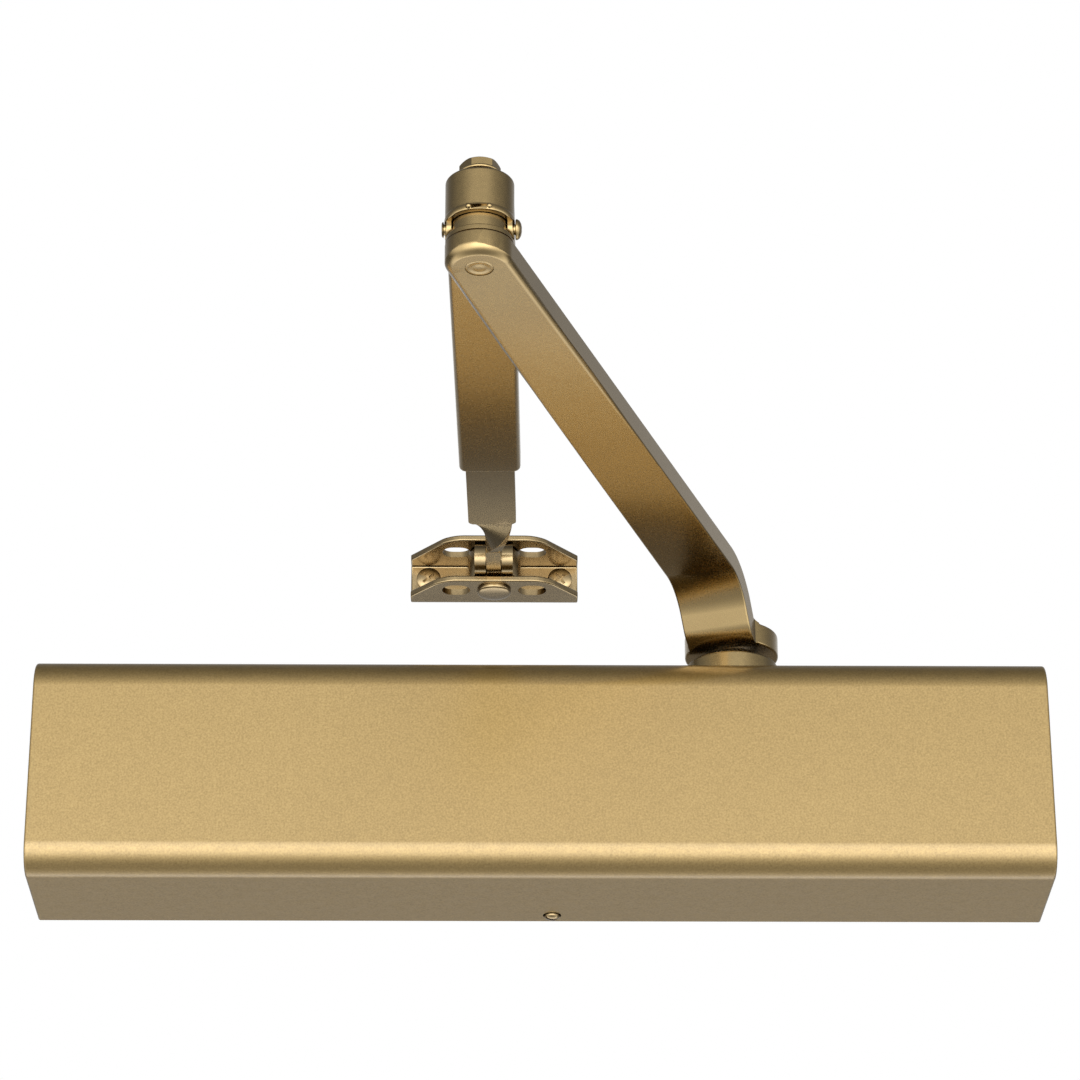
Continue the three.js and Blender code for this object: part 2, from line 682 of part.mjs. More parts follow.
function makeYoke() {
  const low = shoeBottomZ + shoeSheet + restGap;
  const high = shoeBottomZ + shoeHeight - shoeSheet - restGap;
  const earRadius = (high - low) / 2;
  const middle = (high + low) / 2;
  const ears = new THREE.Shape();
  ears.moveTo(shoeAxisY, low);
  ears.lineTo(shoeAxisY, high);
  ears.lineTo(yokePinY, high);
  ears.absarc(yokePinY, middle, earRadius, Math.PI / 2, 1.5 * Math.PI);
  ears.lineTo(shoeAxisY, low);
  const body = join(post(drumRadius, low, high, 0, shoeAxisY), plateX(ears, -6.2, 6.2));
  const gap = tipThick / 2 + restGap;
  const yoke = cut(
    body,
    block(-gap, gap, 200, yokePinY + tipHeight / 2 + 0.5, low - 1, high + 1),
    post(2.6, low - 1, high + 1, 0, shoeAxisY, 16),
    barX(yokePinRadius + 0.05, -8, 8, yokePinY, yokePinZ, 16)
  );
  place(knuckleGroup, 'shoe_yoke', yoke, brassPlate);
  place(knuckleGroup, 'yoke_pin', barX(yokePinRadius, -6.1, 6.1, yokePinY, yokePinZ, 16), brassPlate);
}

// flange outline: straight sides at the back, corners cut away to a shorter front edge
function flangeOutline(depth, sideDepth, frontHalf) {
  const half = shoeWidth / 2;
  return polygon([
    [-half, shoeBack], [-half, shoeBack - sideDepth], [-frontHalf, shoeBack - depth],
    [frontHalf, shoeBack - depth], [half, shoeBack - sideDepth], [half, shoeBack]
  ]);
}

const shoeBack = -(elbow.y + shoeAxisY * Math.cos(forearmTurn));
const shoeScrewX = 21.6;
const shoeScrewZ = shoeBottomZ + 8;

function makeShoe() {
  const top = shoeBottomZ + shoeHeight;
  const half = shoeWidth / 2;
  const lower = plate(flangeOutline(lowerFlangeDepth, 6, 16.8), shoeBottomZ, shoeBottomZ + shoeSheet);
  const upper = plate(flangeOutline(upperFlangeDepth, 7, 14.6), top - shoeSheet, top);
  const base = block(-half, half, shoeBack - shoeSheet, shoeBack, shoeBottomZ, top);
  const cuts = [post(2.6, shoeBottomZ - 1, top + 1, 0, 0, 16)];
  for (const side of [-1, 1]) {
    const lowerSlot = roundRect(slotLength, slotWidth, slotRound, side * slotX, shoeBack - 10.8);
    const upperSlot = roundRect(slotLength, slotWidth, slotRound, side * slotX, shoeBack - 13);
    cuts.push(plate(lowerSlot, shoeBottomZ - 1, shoeBottomZ + shoeSheet + 1, 4));
    cuts.push(plate(upperSlot, top - shoeSheet - 1, top + 1, 4));
    const hole = turned([[0, -6], [2.3, -6], [2.3, 0.6], [4.2, 2.4], [4.2, 4], [0, 4]], 16);
    cuts.push(hole.rotateX(Math.PI / 2).translate(side * shoeScrewX, shoeBack, shoeScrewZ));
  }
  place(shoeGroup, 'shoe_bracket', cut(join(base, lower, upper), ...cuts), brassPlate);
  const rivet = turned([
    [0, shoeBottomZ - 1.7], [3.6, shoeBottomZ - 1.4], [5.5, shoeBottomZ - 0.6], [5.5, shoeBottomZ - 0.1],
    [2.5, shoeBottomZ - 0.1], [2.5, top + 0.1], [4.2, top + 0.1], [3.6, top + 1.1], [0, top + 1.3]
  ], 20);
  place(shoeGroup, 'shoe_rivet', rivet, brassPlate);
}

function makeShoeScrews() {
  for (const [name, side] of [['shoe_screw_left', -1], ['shoe_screw_right', 1]]) {
    const screw = turned([
      [0, -12], [1, -12], [2.1, -9], [2.1, 0.5], [3.95, 2.3], [3.95, 2.5], [2, 3], [0, 3.1]
    ], 16);
    const recess = join(block(-2.3, 2.3, -0.45, 0.45, 1.6, 4), block(-0.45, 0.45, -2.3, 2.3, 1.6, 4));
    const shaped = cut(screw, recess).rotateX(Math.PI / 2);
    place(shoeGroup, name, shaped, brassPlate, side * shoeScrewX, shoeBack, shoeScrewZ);
  }
}

makeCover();
makeCasting();
makeEndPlugs();
makeSpindleSeats();
makeValves();
makePiston();
makeSpring();
makeShaft();
makeMainArm();
makeArmScrew();
makeKnucklePost();
makeKnuckleCap();
makeKnuckleBolt();
makeForearm();
makeRod();
makeYoke();
makeShoe();
makeShoeScrews();

export default root;
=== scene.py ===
from math import atan, atan2, cos, degrees, pi, radians, sin

import bpy
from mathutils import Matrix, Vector


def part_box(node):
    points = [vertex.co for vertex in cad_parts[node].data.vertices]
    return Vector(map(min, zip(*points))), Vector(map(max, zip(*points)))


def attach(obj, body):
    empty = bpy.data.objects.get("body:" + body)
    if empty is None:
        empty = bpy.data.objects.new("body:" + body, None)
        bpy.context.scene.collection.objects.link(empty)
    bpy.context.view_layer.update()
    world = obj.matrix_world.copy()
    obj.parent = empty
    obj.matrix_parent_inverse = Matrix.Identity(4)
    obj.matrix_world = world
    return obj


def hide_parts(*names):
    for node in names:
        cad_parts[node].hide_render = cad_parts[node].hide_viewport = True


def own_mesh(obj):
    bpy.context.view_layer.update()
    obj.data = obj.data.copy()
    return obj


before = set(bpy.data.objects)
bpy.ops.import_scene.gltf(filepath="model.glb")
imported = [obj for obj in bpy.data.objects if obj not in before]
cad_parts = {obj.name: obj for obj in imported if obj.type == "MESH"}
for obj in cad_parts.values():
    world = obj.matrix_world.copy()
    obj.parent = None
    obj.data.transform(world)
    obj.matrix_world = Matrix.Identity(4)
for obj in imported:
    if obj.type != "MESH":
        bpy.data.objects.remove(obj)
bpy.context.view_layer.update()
print("frame loaded")


# small tools used by every piece; sizes are in millimetres unless a note says metres
mergeGap = 0.000002  # metres


def mm(value):
    return value * 0.001


def boxOf(node):  # lowest and highest corner
    return [corner * 1000 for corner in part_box(node)]


def clearSelection():
    if bpy.context.object and bpy.context.object.mode != "OBJECT":
        bpy.ops.object.mode_set(mode="OBJECT")
    bpy.ops.object.select_all(action="DESELECT")


def takeUp(piece):
    clearSelection()
    piece.select_set(True)
    bpy.context.view_layer.objects.active = piece


def applyPlace(piece):
    takeUp(piece)
    bpy.ops.object.transform_apply(location=True, rotation=True, scale=True)


def addBlock(low, high):  # block from its low and high corners
    clearSelection()
    middle = [mm((a + b) / 2) for a, b in zip(low, high)]
    bpy.ops.mesh.primitive_cube_add(size=1, location=middle)
    piece = bpy.context.object
    piece.scale = [mm(b - a) for a, b in zip(low, high)]
    applyPlace(piece)
    return piece


def addPost(radius, low, high, place=(0, 0), sides=64):  # upright round bar
    clearSelection()
    bpy.ops.mesh.primitive_cylinder_add(
        vertices=sides, radius=mm(radius), depth=mm(high - low),
        location=(mm(place[0]), mm(place[1]), mm((low + high) / 2)))
    piece = bpy.context.object
    applyPlace(piece)
    return piece


def addCrossBar(radius, low, high, y=0, z=0, sides=48):  # round bar along X
    clearSelection()
    bpy.ops.mesh.primitive_cylinder_add(
        vertices=sides, radius=mm(radius), depth=mm(high - low),
        location=(mm((low + high) / 2), mm(y), mm(z)), rotation=(0, pi / 2, 0))
    piece = bpy.context.object
    applyPlace(piece)
    return piece


def dropMarks(mesh):
    for group in (mesh.vertices, mesh.edges, mesh.polygons):
        for item in group:
            item.select = False


def markEdges(piece, wanted):  # wanted(first end, second end)
    takeUp(piece)
    mesh = piece.data
    dropMarks(mesh)
    points = [v.co * 1000 for v in mesh.vertices]
    for edge in mesh.edges:
        edge.select = bool(wanted(points[edge.vertices[0]], points[edge.vertices[1]]))
    bpy.ops.object.mode_set(mode="EDIT")
    bpy.ops.mesh.select_mode(type="EDGE")


def markFaces(piece, wanted):  # wanted(centre, normal)
    takeUp(piece)
    mesh = piece.data
    dropMarks(mesh)
    for face in mesh.polygons:
        face.select = bool(wanted(face.center * 1000, face.normal))
    bpy.ops.object.mode_set(mode="EDIT")
    bpy.ops.mesh.select_mode(type="FACE")


def roundEdges(piece, radius, steps, wanted):
    markEdges(piece, wanted)
    bpy.ops.mesh.bevel(offset=mm(radius), offset_type="OFFSET", segments=steps, affect="EDGES")
    bpy.ops.object.mode_set(mode="OBJECT")


def softenEdges(piece, width, steps=3, angle=38):
    takeUp(piece)
    bevel = piece.modifiers.new("softEdges", "BEVEL")
    bevel.width = mm(width)
    bevel.segments = steps
    bevel.limit_method = "ANGLE"
    bevel.angle_limit = radians(angle)
    bpy.ops.object.modifier_apply(modifier=bevel.name)


def combine(piece, operation, tools):
    for tool in tools:
        takeUp(piece)
        change = piece.modifiers.new("shape", "BOOLEAN")
        change.operation = operation
        change.solver = "EXACT"
        change.object = tool
        bpy.ops.object.modifier_apply(modifier=change.name)
        bpy.data.objects.remove(tool, do_unlink=True)


def cutAway(piece, *tools):
    combine(piece, "DIFFERENCE", tools)


def weld(piece, *tools):
    combine(piece, "UNION", tools)


def keepInside(piece, *tools):
    combine(piece, "INTERSECT", tools)


def cleanUp(piece, smoothAngle=32):
    takeUp(piece)
    bpy.ops.object.mode_set(mode="EDIT")
    bpy.ops.mesh.select_all(action="SELECT")
    bpy.ops.mesh.remove_doubles(threshold=mergeGap)
    bpy.ops.mesh.dissolve_degenerate(threshold=0.000001)
    bpy.ops.mesh.normals_make_consistent(inside=False)
    bpy.ops.object.mode_set(mode="OBJECT")
    bpy.ops.object.shade_smooth_by_angle(angle=radians(smoothAngle))
    flatten = piece.modifiers.new("flatFaces", "WEIGHTED_NORMAL")  # flats stay flat beside small rounds
    flatten.keep_sharp = True
    bpy.ops.object.modifier_apply(modifier=flatten.name)


# turned shape from (radius, height) points, drawn out ring by ring from a circle
def turnShape(profile, sides=72, closed=False):
    clearSelection()
    radius, height = profile[0]
    bpy.ops.mesh.primitive_circle_add(vertices=sides, radius=mm(radius), location=(0, 0, mm(height)))
    piece = bpy.context.object
    applyPlace(piece)
    bpy.ops.object.mode_set(mode="EDIT")
    bpy.ops.mesh.select_mode(type="EDGE")
    bpy.ops.mesh.select_all(action="SELECT")
    for nextRadius, nextHeight in profile[1:]:
        bpy.ops.mesh.extrude_region_move(
            TRANSFORM_OT_translate={"value": (0, 0, mm(nextHeight - height))})
        share = nextRadius / radius
        bpy.ops.transform.resize(value=(share, share, 1), center_override=(0, 0, mm(nextHeight)))
        radius, height = nextRadius, nextHeight
    bpy.ops.mesh.select_all(action="SELECT")
    if closed:
        bpy.ops.mesh.remove_doubles(threshold=mergeGap)
    else:
        bpy.ops.mesh.fill_holes(sides=0)
    bpy.ops.mesh.select_all(action="SELECT")
    bpy.ops.mesh.normals_make_consistent(inside=False)
    bpy.ops.object.mode_set(mode="OBJECT")
    return piece


def layAlong(piece, turn):  # turns a shape about the origin and applies it
    piece.rotation_euler = [radians(a) for a in turn]
    applyPlace(piece)


def moveTo(piece, place, turn=0):  # place in metres, turn about Z in degrees
    piece.rotation_euler = (0, 0, radians(turn))
    piece.location = place
    applyPlace(piece)


def arc(centreRadius, centreHeight, radius, fromAngle, toAngle, steps):
    points = []
    for step in range(steps + 1):
        angle = radians(fromAngle + (toAngle - fromAngle) * step / steps)
        points.append((centreRadius + radius * cos(angle), centreHeight + radius * sin(angle)))
    return points


def handOver(piece, name, material, body, slotName, *nodes):
    piece.name = name
    piece.data.name = name
    piece.data.materials.clear()
    piece.data.materials.append(material)
    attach(piece, body)
    if nodes:
        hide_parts(*nodes)
    print("made", name)


def middleOf(node):
    low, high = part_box(node)
    return (low + high) / 2


# axes of the mechanism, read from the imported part
spindleAxis = middleOf("spindle_collar")
elbowAxis = middleOf("elbow_rivet")
shoeAxis = middleOf("shoe_rivet")
armTurn = degrees(atan2(elbowAxis.y - spindleAxis.y, elbowAxis.x - spindleAxis.x))
armReach = (elbowAxis - spindleAxis).xy.length * 1000
foreTurn = degrees(atan2(shoeAxis.y - elbowAxis.y, shoeAxis.x - elbowAxis.x)) - 90
shoeReach = (shoeAxis - elbowAxis).xy.length * 1000


def onSpindle(piece, turn=0):
    moveTo(piece, (spindleAxis.x, spindleAxis.y, 0), turn)


def onElbow(piece, turn=0):
    moveTo(piece, (elbowAxis.x, elbowAxis.y, 0), turn)


def onShoe(piece, turn=0):
    moveTo(piece, (shoeAxis.x, shoeAxis.y, 0), turn)


# camera, place in metres
cameraView = dict(
    place=(-0.009417, -1.181988, -0.464026), turn=(115.4275, 0.0251, -0.4496), lens=131.46,
    sensor=36, nearest=0.05, farthest=60)

cameraData = bpy.data.cameras.new("viewCamera")
cameraData.lens = cameraView["lens"]
cameraData.sensor_width = cameraView["sensor"]
cameraData.clip_start = cameraView["nearest"]
cameraData.clip_end = cameraView["farthest"]
camera = bpy.data.objects.new("viewCamera", cameraData)
bpy.context.collection.objects.link(camera)
camera.location = cameraView["place"]
camera.rotation_euler = [radians(a) for a in cameraView["turn"]]
bpy.context.scene.camera = camera
bpy.context.scene.view_settings.view_transform = "Standard"
print("camera set")


def addNode(tree, kind, **settings):
    node = tree.nodes.new(kind)
    for name, value in settings.items():
        setattr(node, name, value)
    return node


def addSockets(group, inputs, outputs):
    for name, kind, value in inputs:
        socket = group.interface.new_socket(name, in_out="INPUT", socket_type=kind)
        if value is not None:
            socket.default_value = value
    for name, kind in outputs:
        group.interface.new_socket(name, in_out="OUTPUT", socket_type=kind)
    return addNode(group, "NodeGroupInput"), addNode(group, "NodeGroupOutput")


def makeGrainGroup():  # fine grain of a sprayed or blasted finish
    group = bpy.data.node_groups.new("fineGrain", "ShaderNodeTree")
    start, end = addSockets(
        group,
        [("Vector", "NodeSocketVector", None), ("Scale", "NodeSocketFloat", 1800.0),
         ("Contrast", "NodeSocketFloat", 0.5)],
        [("Mask", "NodeSocketFloat"), ("Height", "NodeSocketFloat")])
    noise = addNode(group, "ShaderNodeTexNoise")
    noise.inputs["Detail"].default_value = 3
    noise.inputs["Roughness"].default_value = 0.65
    centre = addNode(group, "ShaderNodeMath", operation="SUBTRACT")
    centre.inputs[1].default_value = 0.5
    spread = addNode(group, "ShaderNodeMath", operation="MULTIPLY")
    back = addNode(group, "ShaderNodeMath", operation="ADD", use_clamp=True)
    back.inputs[1].default_value = 0.5
    wire = group.links.new
    wire(start.outputs["Vector"], noise.inputs["Vector"])
    wire(start.outputs["Scale"], noise.inputs["Scale"])
    wire(noise.outputs["Fac"], centre.inputs[0])
    wire(centre.outputs[0], spread.inputs[0])
    wire(start.outputs["Contrast"], spread.inputs[1])
    wire(spread.outputs[0], back.inputs[0])
    wire(back.outputs[0], end.inputs["Mask"])
    wire(noise.outputs["Fac"], end.inputs["Height"])
    return group


def makeCloudGroup():  # slow change of tone over a surface
    group = bpy.data.node_groups.new("cloudTone", "ShaderNodeTree")
    start, end = addSockets(
        group,
        [("Vector", "NodeSocketVector", None), ("Scale", "NodeSocketFloat", 30.0),
         ("Low", "NodeSocketFloat", 0.35), ("High", "NodeSocketFloat", 0.65)],
        [("Mask", "NodeSocketFloat")])
    noise = addNode(group, "ShaderNodeTexNoise")
    noise.inputs["Detail"].default_value = 2
    rangeNode = addNode(group, "ShaderNodeMapRange", interpolation_type="SMOOTHSTEP")
    wire = group.links.new
    wire(start.outputs["Vector"], noise.inputs["Vector"])
    wire(start.outputs["Scale"], noise.inputs["Scale"])
    wire(noise.outputs["Fac"], rangeNode.inputs["Value"])
    wire(start.outputs["Low"], rangeNode.inputs["From Min"])
    wire(start.outputs["High"], rangeNode.inputs["From Max"])
    wire(rangeNode.outputs["Result"], end.inputs["Mask"])
    return group


def makeStreakGroup():  # drawn or brushed lines along one direction
    group = bpy.data.node_groups.new("drawnLines", "ShaderNodeTree")
    start, end = addSockets(
        group,
        [("Vector", "NodeSocketVector", None), ("Stretch", "NodeSocketVector", (1, 1, 1)),
         ("Scale", "NodeSocketFloat", 400.0)],
        [("Mask", "NodeSocketFloat")])
    stretch = addNode(group, "ShaderNodeVectorMath", operation="MULTIPLY")
    noise = addNode(group, "ShaderNodeTexNoise")
    noise.inputs["Detail"].default_value = 4
    noise.inputs["Roughness"].default_value = 0.6
    wire = group.links.new
    wire(start.outputs["Vector"], stretch.inputs[0])
    wire(start.outputs["Stretch"], stretch.inputs[1])
    wire(stretch.outputs[0], noise.inputs["Vector"])
    wire(start.outputs["Scale"], noise.inputs["Scale"])
    wire(noise.outputs["Fac"], end.inputs["Mask"])
    return group


grainGroup = makeGrainGroup()
cloudGroup = makeCloudGroup()
streakGroup = makeStreakGroup()


# grain and slow tone shift the colour, streaks shift the roughness, grain and streaks raise the surface
def makeFinish(name, spec):
    material = bpy.data.materials.new(name)
    material.use_nodes = True
    tree = material.node_tree
    wire = tree.links.new
    shader = tree.nodes["Principled BSDF"]
    place = addNode(tree, "ShaderNodeTexCoord").outputs["Object"]
    grain = addNode(tree, "ShaderNodeGroup", node_tree=grainGroup)
    grain.inputs["Scale"].default_value = spec["grainScale"]
    grain.inputs["Contrast"].default_value = spec["grainContrast"]
    cloud = addNode(tree, "ShaderNodeGroup", node_tree=cloudGroup)
    cloud.inputs["Scale"].default_value = spec["cloudScale"]
    streak = addNode(tree, "ShaderNodeGroup", node_tree=streakGroup)
    streak.inputs["Scale"].default_value = spec["streakScale"]
    streak.inputs["Stretch"].default_value = spec["streakStretch"]
    for node in (grain, cloud, streak):
        wire(place, node.inputs["Vector"])
    grainMix = addNode(tree, "ShaderNodeMix", data_type="RGBA")
    grainMix.inputs["A"].default_value = (*spec["dark"], 1)
    grainMix.inputs["B"].default_value = (*spec["light"], 1)
    wire(grain.outputs["Mask"], grainMix.inputs["Factor"])
    cloudMix = addNode(tree, "ShaderNodeMix", data_type="RGBA", blend_type="MULTIPLY")
    cloudMix.inputs["B"].default_value = (*spec["cloudTint"], 1)
    wire(cloud.outputs["Mask"], cloudMix.inputs["Factor"])
    wire(grainMix.outputs["Result"], cloudMix.inputs["A"])
    wire(cloudMix.outputs["Result"], shader.inputs["Base Color"])
    roughness = addNode(tree, "ShaderNodeMapRange")
    roughness.inputs["From Min"].default_value = spec["streakLow"]
    roughness.inputs["From Max"].default_value = spec["streakHigh"]
    roughness.inputs["To Min"].default_value = spec["smoothest"]
    roughness.inputs["To Max"].default_value = spec["roughest"]
    wire(streak.outputs["Mask"], roughness.inputs["Value"])
    wire(roughness.outputs["Result"], shader.inputs["Roughness"])
    grainBump = addNode(tree, "ShaderNodeBump")
    grainBump.inputs["Strength"].default_value = spec["grainBump"]
    grainBump.inputs["Distance"].default_value = mm(spec["grainDepth"])
    wire(grain.outputs["Height"], grainBump.inputs["Height"])
    streakBump = addNode(tree, "ShaderNodeBump")
    streakBump.inputs["Strength"].default_value = spec["streakBump"]
    streakBump.inputs["Distance"].default_value = mm(spec["streakDepth"])
    wire(streak.outputs["Mask"], streakBump.inputs["Height"])
    wire(grainBump.outputs["Normal"], streakBump.inputs["Normal"])
    wire(streakBump.outputs["Normal"], shader.inputs["Normal"])
    shader.inputs["Metallic"].default_value = spec["metallic"]
    shader.inputs["Coat Weight"].default_value = spec["coat"]
    shader.inputs["Coat Roughness"].default_value = spec["coatRoughness"]
    return material


plainFinish = dict(
    grainScale=1600, grainContrast=1.0, grainBump=0.2, grainDepth=0.03, cloudScale=22,
    cloudTint=(0.93, 0.92, 0.9), streakScale=300, streakStretch=(1, 1, 1), streakBump=0.05,
    streakDepth=0.05, streakLow=0.3, streakHigh=0.7, smoothest=0.3, roughest=0.4, metallic=1.0,
    coat=0.0, coatRoughness=0.2)

coverFinish = dict(
    plainFinish, dark=(0.255, 0.172, 0.055), light=(0.43, 0.298, 0.108), grainContrast=1.8,
    smoothest=0.46, roughest=0.54, metallic=0.95, coat=1.0, coatRoughness=0.2,
    cloudScale=9, cloudTint=(0.96, 0.955, 0.94), grainBump=0.3)

armFinish = dict(
    plainFinish, dark=(0.312, 0.22, 0.088), light=(0.378, 0.27, 0.113), grainScale=1900,
    grainContrast=0.7, grainBump=0.04, smoothest=0.22, roughest=0.3, coat=0.7, coatRoughness=0.18,
    cloudScale=35, cloudTint=(0.95, 0.94, 0.92), streakScale=700, streakBump=0.01)

# the arm finish painted darker for the collar: painted shade from the hub above and the cover below
collarPaintedShadeFinish = dict(armFinish, dark=(0.22, 0.155, 0.06), light=(0.27, 0.192, 0.078))

shoeFinish = dict(
    plainFinish, dark=(0.255, 0.185, 0.088), light=(0.375, 0.277, 0.135), grainScale=1300,
    grainBump=0.05, smoothest=0.2, roughest=0.3, coat=0.6, coatRoughness=0.16, cloudScale=60,
    cloudTint=(0.9, 0.88, 0.85), streakScale=900, streakStretch=(1, 1, 0.06), streakBump=0.05)

castingFinish = dict(
    plainFinish, dark=(0.055, 0.054, 0.053), light=(0.13, 0.127, 0.123), grainScale=600,
    grainContrast=1.6, grainBump=0.7, grainDepth=0.12, smoothest=0.55, roughest=0.75, metallic=0.6)

steelFinish = dict(
    plainFinish, dark=(0.34, 0.34, 0.35), light=(0.5, 0.5, 0.51), smoothest=0.22, roughest=0.36,
    streakScale=700, streakStretch=(0.2, 1, 1))

springFinish = dict(
    plainFinish, dark=(0.1, 0.1, 0.105), light=(0.2, 0.2, 0.2), smoothest=0.3, roughest=0.45)

rubberFinish = dict(
    plainFinish, dark=(0.012, 0.012, 0.012), light=(0.03, 0.03, 0.03), smoothest=0.55,
    roughest=0.75, metallic=0.0)

coverGold = makeFinish("coverGold", coverFinish)
armGold = makeFinish("armGold", armFinish)
collarPaintedShadeGold = makeFinish("collarPaintedShadeGold", collarPaintedShadeFinish)
shoeBrass = makeFinish("shoeBrass", shoeFinish)
castIron = makeFinish("castIron", castingFinish)
plainSteel = makeFinish("plainSteel", steelFinish)
springSteel = makeFinish("springSteel", springFinish)
sealRubber = makeFinish("sealRubber", rubberFinish)
print("finishes made")


# studio, floor in metres; each light run goes from 0 straight down to 1 straight up, with its brightness
studio = dict(
    floorLevel=-0.9, floorSize=14, paper=(0.95, 0.95, 0.94, 1), paperRoughness=0.9, turnover=0.35,
    sideFade=(0.3, 0.9, 1.0, 0.42),
    front=[(0.0, 0.5), (0.06, 0.6), (0.1, 1.0), (0.15, 1.4), (0.19, 2.3), (0.26, 3.6), (0.317, 4.1),
           (0.4, 4.5), (0.51, 4.8), (0.58, 4.3), (0.64, 2.6), (0.69, 1.1), (0.78, 0.75), (0.9, 0.4),
           (1.0, 0.12)],
    rear=[(0.0, 0.45), (0.035, 0.7), (0.1, 1.6), (0.16, 2.5), (0.2, 1.6), (0.25, 0.42), (0.317, 0.3),
          (0.4, 0.4), (0.5, 0.45), (0.62, 0.5), (0.68, 0.8), (0.75, 0.4), (0.85, 0.3), (1.0, 0.12)])


def fillRamp(ramp, stops):
    while len(ramp.elements) > 1:
        ramp.elements.remove(ramp.elements[-1])
    ramp.elements[0].position = stops[0][0]
    ramp.elements[0].color = (stops[0][1],) * 3 + (1,)
    for position, value in stops[1:]:
        stop = ramp.elements.new(position)
        stop.color = (value, value, value, 1)


def makeStudio():
    clearSelection()
    bpy.ops.mesh.primitive_plane_add(size=studio["floorSize"], location=(0, 0, studio["floorLevel"]))
    floor = bpy.context.object
    floor.name = "studioFloor"
    paper = bpy.data.materials.new("studioPaper")
    paper.use_nodes = True
    shader = paper.node_tree.nodes["Principled BSDF"]
    shader.inputs["Base Color"].default_value = studio["paper"]
    shader.inputs["Roughness"].default_value = studio["paperRoughness"]
    floor.data.materials.append(paper)
    floor.visible_glossy = False

    world = bpy.data.worlds.new("studioWorld")
    bpy.context.scene.world = world
    world.use_nodes = True
    tree = world.node_tree
    wire = tree.links.new
    tree.nodes.clear()
    place = addNode(tree, "ShaderNodeTexCoord")
    split = addNode(tree, "ShaderNodeSeparateXYZ")
    wire(place.outputs["Generated"], split.inputs[0])
    # brightness by height, one run for the front half and one for the rear
    level = addNode(tree, "ShaderNodeMapRange")
    level.inputs["From Min"].default_value = -1
    wire(split.outputs["Z"], level.inputs["Value"])
    front = addNode(tree, "ShaderNodeValToRGB")
    fillRamp(front.color_ramp, studio["front"])
    rear = addNode(tree, "ShaderNodeValToRGB")
    fillRamp(rear.color_ramp, studio["rear"])
    wire(level.outputs["Result"], front.inputs["Fac"])
    wire(level.outputs["Result"], rear.inputs["Fac"])
    side = addNode(tree, "ShaderNodeMapRange", interpolation_type="SMOOTHSTEP")
    side.inputs["From Min"].default_value = -studio["turnover"]
    side.inputs["From Max"].default_value = studio["turnover"]
    wire(split.outputs["Y"], side.inputs["Value"])
    both = addNode(tree, "ShaderNodeMix", data_type="RGBA")
    wire(side.outputs["Result"], both.inputs["Factor"])
    wire(front.outputs["Color"], both.inputs["A"])
    wire(rear.outputs["Color"], both.inputs["B"])

    # the light fades to both sides
    away = addNode(tree, "ShaderNodeMath", operation="ABSOLUTE")
    wire(split.outputs["X"], away.inputs[0])
    fade = addNode(tree, "ShaderNodeMapRange", interpolation_type="SMOOTHSTEP")
    for socket, value in zip(("From Min", "From Max", "To Min", "To Max"), studio["sideFade"]):
        fade.inputs[socket].default_value = value
    wire(away.outputs[0], fade.inputs["Value"])

    light = addNode(tree, "ShaderNodeBackground")
    wire(both.outputs["Result"], light.inputs["Color"])
    wire(fade.outputs["Result"], light.inputs["Strength"])
    backdrop = addNode(tree, "ShaderNodeBackground")
    backdrop.inputs["Color"].default_value = (1, 1, 1, 1)
    path = addNode(tree, "ShaderNodeLightPath")
    choose = addNode(tree, "ShaderNodeMixShader")
    wire(path.outputs["Is Camera Ray"], choose.inputs["Fac"])
    wire(light.outputs[0], choose.inputs[1])
    wire(backdrop.outputs[0], choose.inputs[2])
    end = addNode(tree, "ShaderNodeOutputWorld")
    wire(choose.outputs[0], end.inputs["Surface"])


makeStudio()
print("studio set")


# cover: folded sheet box, open at the back
coverShape = dict(
    topRadius=11, bottomRadius=9, wall=2, edgeRound=0.8, spindleHole=15, screwHole=2.9, near=0.01)


def makeCover():
    s = coverShape
    near = s["near"]
    low, high = boxOf("cover")
    cover = addBlock(low, high)
    front = low.y + near
    roundEdges(cover, s["topRadius"], 20,
               lambda a, b: a.y < front and b.y < front and a.z > 0 and b.z > 0)
    roundEdges(cover, s["bottomRadius"], 20,
               lambda a, b: a.y < front and b.y < front and a.z < low.z + near and b.z < low.z + near)
    roundEdges(cover, s["edgeRound"], 4,
               lambda a, b: abs(abs(a.x) - high.x) < near and abs(a.x - b.x) < near
               and not (a.y > -near and b.y > -near))
    markFaces(cover, lambda centre, normal: normal.y > 0.9 and centre.y > -near)
    bpy.ops.mesh.delete(type="FACE")
    bpy.ops.object.mode_set(mode="OBJECT")
    sheet = cover.modifiers.new("sheet", "SOLIDIFY")
    sheet.thickness = mm(s["wall"])
    sheet.offset = -1
    sheet.use_even_offset = True
    bpy.ops.object.modifier_apply(modifier=sheet.name)
    spindleHole = addPost(s["spindleHole"], high.z - 5, high.z + 5,
                          (spindleAxis.x * 1000, spindleAxis.y * 1000), 96)
    screw = middleOf("cover_screw") * 1000
    screwHole = addPost(s["screwHole"], low.z - 5, low.z + 5, (screw.x, screw.y), 32)
    cutAway(cover, spindleHole, screwHole)
    cleanUp(cover)
    handOver(cover, "coverShell", coverGold, "housing", "cover_gold", "cover")


coverScrewShape = dict(radius=2.4, shank=1.4, height=1.25, slotWidth=0.8, slotDepth=0.7, turn=24)


